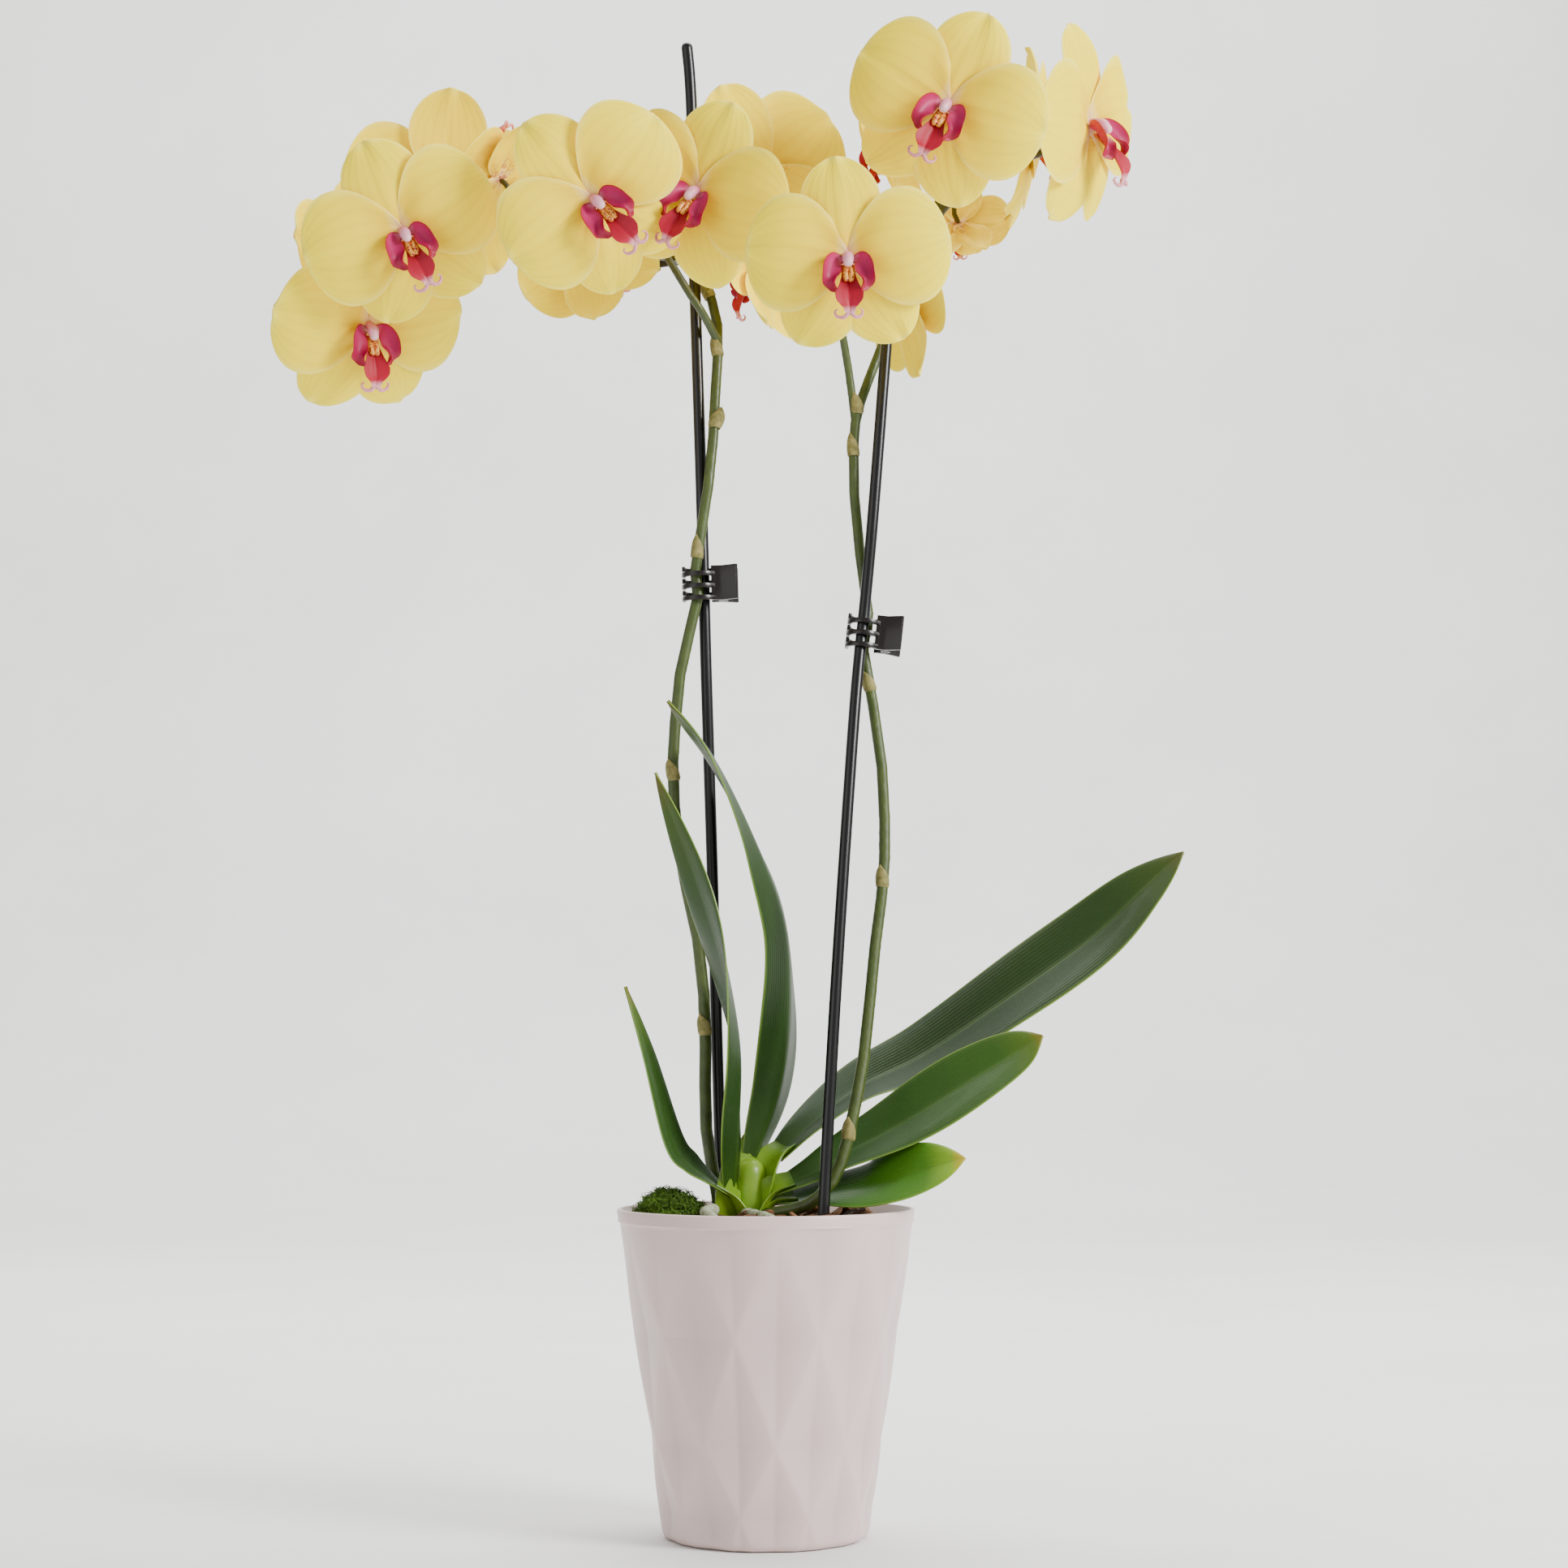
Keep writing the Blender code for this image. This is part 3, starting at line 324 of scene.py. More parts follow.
def linear(colour):
    """An sRGB hex colour as linear RGBA."""
    parts = np.array([int(colour[i:i + 2], 16) / 255 for i in (1, 3, 5)])
    parts = np.where(parts <= 0.04045, parts / 12.92, ((parts + 0.055) / 1.055) ** 2.4)
    return (*parts.tolist(), 1.0)


def chosen(name):
    """A colour of the user's settings, as linear RGBA."""
    return tuple(getattr(bpy.context.scene.orchid, name))


def add_node(tree, kind, values=None, **settings):
    """A shader node with its settings, and its inputs set or linked by name or index."""
    node = tree.nodes.new(kind)
    for name, value in settings.items():
        setattr(node, name, value)
    for key, value in (values or {}).items():
        socket = node.inputs[key]
        if isinstance(value, bpy.types.NodeSocket):
            tree.links.new(value, socket)
        else:
            socket.default_value = value
    return node


class Skin:
    """A material being made, with short ways to add what its colour and its grain are made of."""

    def __init__(self, name, **sockets):
        self.made = bpy.data.materials.new(name)
        self.made.use_nodes = True
        self.tree = self.made.node_tree
        self.shader = self.tree.nodes["Principled BSDF"]
        for key, value in sockets.items():
            self.shader.inputs[key.replace("_", " ")].default_value = value

    def ramp(self, factor, *stops):
        node = add_node(self.tree, "ShaderNodeValToRGB", {"Fac": factor})
        elements = node.color_ramp.elements
        while len(elements) < len(stops):
            elements.new(0.5)
        for element, (place, colour) in zip(elements, stops):
            element.position = place
            element.color = linear(colour) if isinstance(colour, str) else colour
        return node.outputs["Color"]

    def math(self, operation, a, b=0.0):
        return add_node(self.tree, "ShaderNodeMath", {0: a, 1: b}, operation=operation).outputs[0]

    def mix(self, factor, a, b):
        return add_node(self.tree, "ShaderNodeMix", {0: factor, 6: a, 7: b}, data_type="RGBA").outputs[2]

    def tint(self, colour, factor, share, shade):
        """The colour turned towards an sRGB hex shade by a share of the factor."""
        return self.mix(self.math("MULTIPLY", factor, share), colour, linear(shade))

    def value(self, name):
        """A piece's own attribute."""
        return add_node(self.tree, "ShaderNodeAttribute", attribute_name=name).outputs["Fac"]

    def noise(self, size_mm, detail=3.0, rough=0.5):
        """Noise in object space whose blobs are about size_mm across."""
        place = add_node(self.tree, "ShaderNodeTexCoord").outputs["Object"]
        values = {"Vector": place, "Scale": 1.0 / (size_mm * MM), "Detail": detail, "Roughness": rough}
        return add_node(self.tree, "ShaderNodeTexNoise", values).outputs["Fac"]

    def paint(self, colour):
        self.tree.links.new(colour, self.shader.inputs["Base Color"])

    def bump(self, height, strength, distance_mm):
        values = {"Height": height, "Strength": strength, "Distance": distance_mm * MM}
        raised = add_node(self.tree, "ShaderNodeBump", values).outputs["Normal"]
        self.tree.links.new(raised, self.shader.inputs["Normal"])


def petal_material():
    """Yellow petal skin: a pink-white blush at the hub that gives way to deeper yellow, a paler rim, fine
    veins fanning to the edge and red-brown dashes where the lower sepals begin."""
    skin = Skin("orchid petal", Roughness=0.55, Subsurface_Weight=0.10, Subsurface_Scale=0.003,
                Specular_IOR_Level=0.15)
    skin.shader.inputs["Subsurface Radius"].default_value = (1.0, 0.75, 0.05)
    along, rim, vein = skin.value("along"), skin.value("rim"), skin.value("vein")
    dash = skin.value("dash")
    base = skin.ramp(along, (0.0, "#E9A0AC"), (0.06, "#F4CE80"), (0.14, "#F2C400"), (0.42, "#FFDC00"),
                     (1.0, chosen("petal_colour")))
    cloud = skin.noise(14.0)
    base = skin.tint(base, cloud, 0.30, "#FFE818")
    paler = skin.tint(base, rim, 0.6, "#FFF07A")
    lines = skin.math("POWER", skin.math("ABSOLUTE", skin.math("SINE", vein)), 6.0)
    veined = skin.tint(paler, lines, 0.14, "#E2B800")
    speck = skin.noise(1.6, detail=1.0)
    marks = skin.math("MULTIPLY", skin.math("GREATER_THAN", speck, 0.52), dash)
    skin.paint(skin.tint(veined, marks, 0.75, "#A8412A"))
    skin.bump(skin.math("ADD", lines, skin.math("MULTIPLY", cloud, 2.0)), 0.25, 0.25)
    return skin.made


def lip_material():
    """Waxy magenta lip: paler pink at the side lobes' roots, red edges, fine dark streaks and a red
    front lobe that ends white-pink."""
    skin = Skin("orchid lip", Roughness=0.48, Subsurface_Weight=0.10, Subsurface_Scale=0.002,
                Specular_IOR_Level=0.3)
    along, rim, front = skin.value("along"), skin.value("rim"), skin.value("front")
    side = skin.ramp(along, (0.0, "#EFA9BE"), (0.22, "#C42A70"), (0.7, chosen("lip_colour")),
                     (1.0, "#96082E"))
    side = skin.mix(rim, side, linear("#A00420"))
    middle = skin.ramp(along, (0.0, "#D0701C"), (0.22, "#B3281A"), (0.45, "#A00420"),
                       (0.80, chosen("front_lobe_colour")), (0.90, "#EFA6B0"), (1.0, "#F6DEDC"))
    colour = skin.mix(front, side, middle)
    streak = skin.noise(1.2, detail=2.0)
    skin.paint(skin.tint(colour, streak, 0.45, "#8C0C30"))
    skin.bump(streak, 0.25, 0.2)
    return skin.made


def column_material():
    """Cream column with a pink flush and a white cap."""
    skin = Skin("orchid column", Roughness=0.4, Subsurface_Weight=0.15, Subsurface_Scale=0.002)
    along = skin.value("along")
    base = skin.ramp(along, (0.0, "#E0A878"), (0.4, "#C9668C"), (0.75, "#E19CAE"), (1.0, "#F0CBC8"))
    skin.paint(skin.tint(base, skin.noise(2.5), 0.35, "#DE7F9E"))
    return skin.made


def callus_material():
    """Yellow-orange callus with small red spots."""
    skin = Skin("orchid callus", Roughness=0.35)
    spots = skin.math("GREATER_THAN", skin.noise(0.9, detail=1.0), 0.55)
    skin.paint(skin.mix(spots, linear("#E9A43A"), linear("#A9251E")))
    return skin.made


def leaf_material():
    """Waxy leaf: dark green with fine parallel veins, a pale thin edge, a paler midrib, a lighter
    and yellower tone on a fresh leaf and its tip, and slow blotches."""
    skin = Skin("orchid leaf", Roughness=0.42, Coat_Weight=0.03, Specular_IOR_Level=0.28,
                Subsurface_Weight=0.04, Subsurface_Scale=0.003)
    along, across, fresh = skin.value("along"), skin.value("across"), skin.value("fresh")
    dark = skin.ramp(along, (0.0, "#2C4A08"), (0.14, "#152B05"), (0.5, chosen("leaf_colour")),
                     (1.0, "#172C06"))
    bright = skin.ramp(along, (0.0, "#24480A"), (0.3, "#2E5E08"), (0.8, chosen("young_leaf_colour")),
                       (0.93, "#7FA615"), (1.0, "#C9A91E"))
    colour = skin.mix(fresh, dark, bright)
    blotch = skin.noise(18.0)
    colour = skin.tint(colour, blotch, 0.35, "#0A1A03")
    size = skin.math("ABSOLUTE", across)
    veins = skin.math("ABSOLUTE", skin.math("SINE", skin.math("MULTIPLY", across, 38.0)))
    colour = skin.tint(colour, veins, 0.12, "#34501C")
    edge = skin.math("POWER", size, 40.0)
    rib = skin.math("POWER", skin.math("SUBTRACT", 1.0, size), 26.0)
    colour = skin.tint(colour, edge, 0.7, "#7F9F40")
    skin.paint(skin.tint(colour, rib, 0.35, "#426020"))
    skin.bump(skin.math("ADD", skin.math("MULTIPLY", veins, 0.5), blotch), 0.25, 0.5)
    return skin.made


def crown_material():
    """Fresh yellow-green leaf bases that turn the leaf's darker green where they meet its blade."""
    skin = Skin("crown sheath", Roughness=0.38, Coat_Weight=0.1, Subsurface_Weight=0.05,
                Subsurface_Scale=0.003)
    cloud = skin.noise(7.0)
    fresh = skin.mix(cloud, linear("#6B9410"), linear("#93B82A"))
    darker = skin.ramp(skin.value("tip"), (0.0, "#000000"), (0.62, "#000000"), (1.0, "#FFFFFF"))
    skin.paint(skin.mix(darker, fresh, linear("#3B5A14")))
    skin.bump(cloud, 0.2, 0.3)
    return skin.made


def stem_material():
    """Olive stem skin, turning brown-black towards the blooms, with fine mottling."""
    skin = Skin("orchid stem", Roughness=0.45, Coat_Weight=0.08)
    dark = skin.value("dark")
    mottle = skin.noise(6.0)
    green = skin.mix(mottle, linear("#28360B"), chosen("stem_colour"))
    brown = skin.mix(mottle, linear("#120C07"), linear("#33240F"))
    skin.paint(skin.mix(dark, green, brown))
    skin.bump(skin.noise(1.5), 0.15, 0.2)
    return skin.made


def plastic_material(name, colour, worn, roughness):
    """Glossy dark plastic: near-black with slow patches a shade lighter and a faint uneven sheen."""
    skin = Skin(name, Roughness=roughness, Specular_IOR_Level=0.5)
    skin.paint(skin.mix(skin.noise(9.0), colour, linear(worn)))
    skin.bump(skin.noise(0.8), 0.05, 0.05)
    return skin.made


def pot_material():
    """Warm pale grey pot: satin plastic with painted shade darkening its valleys, and a very fine grain."""
    skin = Skin("pot plastic", Roughness=0.38, Specular_IOR_Level=0.5)
    colour = skin.mix(skin.noise(30.0), linear("#CDB5B0"), chosen("pot_colour"))
    # Painted shade: the colour turns towards #A39392 where the deep value marks the relief's valleys.
    skin.paint(skin.tint(colour, skin.value("deep"), 0.30, "#A39392"))
    skin.bump(skin.noise(0.7), 0.06, 0.05)
    return skin.made


def rough_material(name, dark, light, size_mm, height_mm, roughness=0.9):
    """A rough natural surface, such as broken bark or moss: dark and light tones in blobs, and the
    small shadows of a grain of the same size."""
    skin = Skin(name, Roughness=roughness, Specular_IOR_Level=0.25)
    grain = skin.noise(size_mm, detail=5.0, rough=0.65)
    skin.paint(skin.ramp(grain, (0.3, dark), (0.7, light)))
    skin.bump(grain, 0.6, height_mm)
    return skin.made


MATERIALS = {}


def look(name):
    """The material of that name, made once."""
    makers = {
        "petal": petal_material, "lip": lip_material, "column": column_material, "callus": callus_material,
        "leaf": leaf_material, "stem": stem_material, "pot": pot_material,
        "crown": crown_material,
        # A black glossy rod with a thin bright line of light down it.
        "stake": lambda: plastic_material("stake plastic", chosen("stake_colour"), "#08080A", 0.28),
        # Very dark brown moulded plastic, a little duller than the stakes.
        "clip": lambda: plastic_material("clip plastic", chosen("clip_colour"), "#160E0B", 0.3),
        # Thin charcoal plastic, seen only as a ring inside the pot.
        "grower": lambda: plastic_material("grower pot plastic", linear("#1C1C1C"), "#2A2A2A", 0.35),
        # Red-brown chips with pale broken faces.
        "bark": lambda: rough_material("bark chip", "#3A2416", "#7A5636", 4.0, 0.6),
        # Deep green moss with yellow-green tips.
        "moss": lambda: rough_material("moss", "#1E3208", "#5C7E26", 2.0, 0.5, 0.95),
        # Grey-green root skin with a silvery bloom.
        "root": lambda: rough_material("orchid root", "#6F7A55", "#B7BAA0", 3.0, 0.2, 0.7),
        # Dry straw-olive bracts round the stems' joints.
        "bract": lambda: rough_material("bract", "#5B5A2B", "#9A8F58", 3.0, 0.15, 0.6),
        # An even pale floor that takes soft shadows.
        "floor": lambda: rough_material("pale studio floor", "#E9E9E7", "#F2F2F0", 400.0, 0.01, 0.8),
    }
    if name not in MATERIALS:
        MATERIALS[name] = makers[name]()
    return MATERIALS[name]


# ---------------------------------------------------------------- settings and operators

def colour_property(name, description, colour):
    """A colour setting whose default is the sRGB hex colour."""
    return bpy.props.FloatVectorProperty(name=name, description=description, default=linear(colour), size=4,
                                         min=0.0, max=1.0, subtype="COLOR")


def length_property(name, description, size_mm):
    """A length setting whose default is given in mm."""
    return bpy.props.FloatProperty(name=name, description=description, default=size_mm * MM,
                                   unit="LENGTH", subtype="DISTANCE")


class OrchidSettings(bpy.types.PropertyGroup):
    """Sizes and colours of the visual details that a user may change."""

    petal_colour: colour_property("Petal colour", "Yellow of the petals' outer half", "#FFE600")
    lip_colour: colour_property("Lip colour", "Magenta of the lips' side lobes", "#A00C4E")
    front_lobe_colour: colour_property("Front lobe colour", "Red of the lips' front lobes", "#AE062A")
    leaf_colour: colour_property("Leaf colour", "Green at the middle of a grown leaf", "#0E2103")
    young_leaf_colour: colour_property("Young leaf colour", "Green near the tip of a fresh leaf", "#467A0A")
    stem_colour: colour_property("Stem colour", "Lighter green of the stems' mottling", "#4A591A")
    pot_colour: colour_property("Pot colour", "Lighter tone of the decorative pot", "#D8C2BD")
    stake_colour: colour_property("Stake colour", "Plastic of the support stakes", "#030303")
    clip_colour: colour_property("Clip colour", "Plastic of the claw clips", "#0A0605")
    relief_depth: length_property("Relief depth", "Depth of the pot's diamonds", 2.6)
    relief_columns: bpy.props.IntProperty(
        name="Relief columns", description="Diamonds round the pot", default=10, min=4, max=24)
    petal_thickness: length_property("Petal thickness", "Thickness at a petal's middle", 0.9)
    petal_ruffle: length_property("Petal ruffle", "Height of the waves along a petal's edge", 0.8)
    leaf_thickness: length_property("Leaf thickness", "Thickness at a leaf's midrib", 1.7)
    bark_chips: bpy.props.IntProperty(
        name="Bark chips", description="Loose chips on the bark", default=230, min=0, max=600)
    moss_strands: bpy.props.IntProperty(
        name="Moss strands", description="Strands on the moss cushion", default=1400, min=0, max=4000)
    light_power: bpy.props.FloatProperty(
        name="Light power", description="Power of the large soft light in watts", default=36.0, min=0.0)


def make_pot(settings):
    """The pot's wall, rim, floor and inside as one closed set of rings."""
    low, high = node_box("decorative_pot")
    height = high[2] - low[2]
    points = node_points("decorative_pot")
    top_radius = np.hypot(points[:, 0], points[:, 1])[points[:, 2] > high[2] - 1e-5].max()
    foot_points = points[points[:, 2] < low[2] + 0.005]
    wall_at_foot = np.hypot(foot_points[:, 0], foot_points[:, 1]).max()
    band, turn, wall, sole, foot_round = 6.0 * MM, math.radians(23.0), 1.6 * MM, 3 * MM, 4 * MM
    rows = np.array([-0.15, 0.10, 0.32, 0.66, 1.0]) * (height - band)
    columns = 36 * settings.relief_columns
    angle = np.linspace(0, 2 * np.pi, columns, endpoint=False)

    def taper(z):
        return wall_at_foot + (top_radius - wall_at_foot) * (z - foot_round) / (height - foot_round)

    z = np.unique(np.concatenate([np.linspace(foot_round, height - band, 120), rows[1:]]))
    row = np.clip(np.searchsorted(rows, z, side="right") - 1, 0, len(rows) - 2)
    climb = (z - rows[row]) / (rows[row + 1] - rows[row])
    column = (angle[None] - turn) / (2 * np.pi) * settings.relief_columns + 0.5 * (row % 2)[:, None]
    off = 2 * np.abs(column - np.round(column))
    valley = np.abs(off - climb[:, None])
    valley = np.sqrt(valley ** 2 + 0.0016) - 0.04
    fade = np.clip((z - rows[-2]) / (rows[-1] - rows[-2]), 0, 1)
    depth = (settings.relief_depth + (0.7 * MM - settings.relief_depth) * fade)[:, None]
    foot = np.clip((z - foot_round) / (6 * MM), 0, 1)[:, None] ** 0.5
    body = taper(z)[:, None] - depth * valley * (0.6 + 0.4 * foot)
    # deep keeps each wall point's valley value, which the pot material uses to paint shade into the relief's
    # valleys.
    loops, deep = [], []

    def ring(radius, at, value=0.0):
        around = np.stack([np.cos(angle), np.sin(angle)], axis=-1) * np.reshape(radius, (-1, 1))
        loops.append(np.column_stack([around, np.full(columns, at)]))
        deep.append(np.broadcast_to(value, (columns,)))

    base = body[0]
    ring(3 * MM, 0.6 * MM)
    ring(base - 9 * MM, 0.6 * MM)
    ring(base - 7.5 * MM, 0.0)
    for a in np.linspace(0, np.pi / 2, 7)[:-1]:
        ring(base - foot_round * (1 - math.sin(a)), foot_round * (1 - math.cos(a)))
    for k in range(len(z)):
        ring(body[k], z[k], valley[k])
    ring(taper(height - band) - 0.7 * MM * valley[-1] * 0.5 + 0.1 * MM, height - band + 0.3 * MM)
    for above, swell in ((0.9, 0.25), (1.7, -0.1)):
        at = height - band + above * MM
        ring(taper(at) + swell * MM, at)
    for inward, down in ((0.15, 1.0), (0.5, 0.25), (1.1, 0.0), (1.9, 0.2), (2.2, 1.0)):
        ring(taper(height) - inward * MM, height - down * MM)
    for at in np.linspace(height - band, sole, 24):
        ring(taper(at) - settings.relief_depth - wall, at)
    ring(3 * MM, sole)
    build = Build("deep")
    build.loops(np.stack(loops), deep=np.stack(deep))
    build.finish("pot_shell", "pot", "pot", "decorative_pot")


class ORCHID_OT_pot(bpy.types.Operator):
    """The decorative pot: radius = the wall's straight taper, less the relief depth times
    |u - t|, where t climbs from 0 to 1 between two rows of diamond corners and u is the distance,
    in half columns, from the nearest corner of the lower row."""
    bl_idname = "orchid.pot"
    bl_label = "Pot"

    def execute(self, context):
        make_pot(context.scene.orchid)
        NODES["grower_pot"].data.materials.clear()
        NODES["grower_pot"].data.materials.append(look("grower"))
        return {"FINISHED"}


def make_bark(settings):
    """The bark bed and the loose chips on it."""
    low, high = node_box("bark_mix")
    pot_top = node_box("decorative_pot")[1][2]
    radius = (high[0] - low[0]) / 2
    angle = np.linspace(0, 2 * np.pi, 90, endpoint=False)
    shares = np.array([0.15, 0.55, 0.85, 0.97, 1.0, 1.0, 0.9, 0.7, 0.5, 0.3, 0.1, 0.02])
    heights = np.array([0, 0, 0.1, 0.4, 0.75, 0.93, 1, 1, 1, 1, 1, 1.0])
    deep = high[2] - 14 * MM
    x = radius * shares[:, None] * np.cos(angle)
    y = radius * shares[:, None] * np.sin(angle)
    z = deep + (high[2] - 1.5 * MM - deep) * heights[:, None] + 0 * x
    lumps = 1.2 * MM * ripple(x / MM * 0.4, y / MM * 0.4, 0, 3)
    z = z + np.where(heights[:, None] > 0.9, lumps, 0)
    bed = Build()
    bed.loops(np.stack([x, y, z], axis=-1))
    rng = np.random.default_rng(11)
    count = settings.bark_chips
    keep_out = [node_box(name) for name in ("moss", "crown")]
    spread = rng.uniform(0, 1, count) ** 0.5 * (radius - 6 * MM)
    turn = rng.uniform(0, 2 * np.pi, count)
    u = np.linspace(0, 2 * np.pi, 8, endpoint=False) + np.pi / 8
    box = [np.sign(wave) * np.abs(wave) ** 0.6 for wave in (np.cos(u), np.sin(u))]
    v = np.array([-1.0, -0.8, 0.0, 0.8, 1.0])
    for i in range(count):
        centre = np.array([spread[i] * math.cos(turn[i]), spread[i] * math.sin(turn[i]),
                           high[2] + rng.uniform(-1, 1.6) * MM])
        if spread[i] < 12 * MM:
            continue
        if any((np.abs(centre - (start + stop) / 2) < (stop - start) / 2 + 3 * MM)[:2].all()
               for start, stop in keep_out):
            continue
        size = rng.uniform((4.5, 2.6, 1.1), (9.5, 5.5, 2.4)) * MM
        end = np.array([0.55, 1.0, 1.0, 1.0, 0.6]) * rng.uniform(0.8, 1.1, 5)
        chip = np.stack([np.repeat(v[:, None], 8, 1) * size[0], end[:, None] * box[0] * size[1],
                         end[:, None] * box[1] * size[2]], axis=-1)
        chip[..., 2] += rng.uniform(-0.12, 0.12) * chip[..., 0] ** 2 / size[0]
        chip += rng.normal(0, 0.25 * MM, chip.shape)
        about = rng.uniform(0, np.pi)
        tilt = rng.normal(0, 0.35, 2)
        turned = turned_about_z(chip, about)
        turned[..., 2] += turned[..., :2] @ tilt
        moved = turned + centre
        if np.hypot(moved[..., 0], moved[..., 1]).max() > radius:
            continue
        moved[..., 2] = np.minimum(moved[..., 2], pot_top + 2.5 * MM)
        bed.loops(moved)
    bed.finish("bark_bed", "bark", "bark", "bark_mix")


def make_moss(settings):
    """The moss cushion and its strands."""
    low, high = node_box("moss")
    centre, half = (low + high) / 2, (high - low) / 2
    a = np.linspace(0, 2 * np.pi, 72, endpoint=False)
    b = np.concatenate([[0.02], np.linspace(0.12, 1, 20)]) * np.pi / 2
    out, up = np.sin(b)[:, None], np.cos(b)[:, None]
    x, y, z = out * np.cos(a), out * np.sin(a), up + 0 * a
    lump = 0.92 * (1 + 0.07 * ripple(x * 6, y * 6, z * 6, 5) + 0.03 * ripple(x * 17, y * 17, z * 17, 6))
    mound = np.stack([centre[0] + half[0] * x * lump, centre[1] + half[1] * y * lump,
                      low[2] + 1.55 * half[2] * z * lump], axis=-1)
    base = mound[-1:].copy()
    base[..., 2] = low[2] - 1.5 * MM
    cushion = Build()
    cushion.loops(np.concatenate([mound, base], axis=0))
    rng = np.random.default_rng(7)
    t = np.linspace(0, 1, 4)[:, None]
    for _ in range(settings.moss_strands):
        i, j = rng.integers(0, 20), rng.integers(0, 72)
        root = mound[i, j]
        out_way = unit(np.array([x[i, j], y[i, j], z[i, j] + 0.35]))
        side = unit(np.cross(out_way, rng.normal(0, 1, 3)))
        reach = rng.uniform(2.0, 6.5) * MM
        line = root + out_way * reach * t * (1 - 0.35 * t) + side * reach * 0.8 * t ** 2
        cushion.loops(tube(line, np.array([0.30, 0.26, 0.18, 0.06]) * MM, 3))
    cushion.finish("moss_cushion", "moss", "moss", "moss")


def make_roots():
    """The two air roots that lie over the bark."""
    for node in ("root_left", "root_front"):
        points = node_points(node)
        order = np.argsort(points[:, 1])
        thirds = [points[part].mean(0) for part in np.array_split(order, 4)]
        low, high = points[order[:8]].mean(0), points[order[-8:]].mean(0)
        line = smooth_route([high, thirds[2], thirds[1], low], 50)
        s = np.linspace(0, 1, 50)
        radius = (2.5 - 0.5 * s + 0.25 * np.sin(9 * s + 1) + 0.12 * np.sin(31 * s)) * MM
        build = Build()
        build.loops(rounded_tube(line, radius, 18))
        build.finish(f"{node}_skin", "root", "root", node)


def make_crown():
    """A sheath from the crown's middle to the first row of each leaf blade, round a solid core."""
    low, high = node_box("crown")
    centre = (low + high) / 2
    reach = (high[0] - low[0]) / 2
    build = Build("tip")
    for node in LEAVES:
        rows = mesh_points(bpy.data.objects[f"{node}_blade"].data)
        rows = rows.reshape(LEAF_ROWS, 2 * LEAF_COLUMNS, 3)
        base, onward = rows[0].mean(0), rows[8].mean(0)
        way = unit(onward - base)
        edge = rows[0][LEAF_COLUMNS - 1] - rows[0][0]
        half = np.linalg.norm(edge) / 2
        side = square_to(edge, way)
        foot = np.array([centre[0], centre[1], high[2] - 34 * MM]) + 0.25 * (base - centre) * (1, 1, 0)
        line = smooth_route([foot, 0.5 * foot + 0.5 * base - way * 3 * MM, base - way * 1.5 * MM,
                             base + way * 9 * MM], 30)
        tangent = unit(np.gradient(line, axis=0))
        across = square_to(side, tangent)
        face = np.cross(across, tangent)
        v = np.linspace(0, 1, 30)
        width = np.interp(v, [0, 0.45, 0.8, 1],
                          [reach, 0.95 * reach, half + 1.2 * MM, half + 0.5 * MM])[:, None]
        s, v = np.linspace(-1, 1, 17), v[:, None]
        lift = (0.75 - 0.30 * v) * s ** 2 * width - (0.9 * MM - 0.2 * MM * v)
        sheet = ribbon(line, across, face, s * width, lift)
        build.loops(shell(sheet, 1.6 * MM), tip=both_sides(v + 0 * s))
    s = np.linspace(0, 1, 24)
    core = np.column_stack([centre[0] + 0 * s, centre[1] + 0 * s,
                            low[2] + (high[2] - 4 * MM - low[2]) * s])
    build.loops(rounded_tube(core, reach * (0.74 + 0.22 * np.sin(np.pi * s)), 32), tip=0.2)
    build.finish("crown_sheaths", "crown", "crown", "crown")


class ORCHID_OT_substrate(bpy.types.Operator):
    """Bark, moss, roots and crown.  The bark bed is a lumpy disc z = top + ripple(x, y); a chip is a
    rounded box whose sides bend and taper; the moss is a half ball times (1 + ripple) with curved
    strands; a root is a tube with a wandering radius; the crown is leaf bases wrapped round each other."""
    bl_idname = "orchid.substrate"
    bl_label = "Bark, moss, roots and crown"

    def execute(self, context):
        settings = context.scene.orchid
        make_bark(settings)
        make_moss(settings)
        make_roots()
        make_crown()
        return {"FINISHED"}


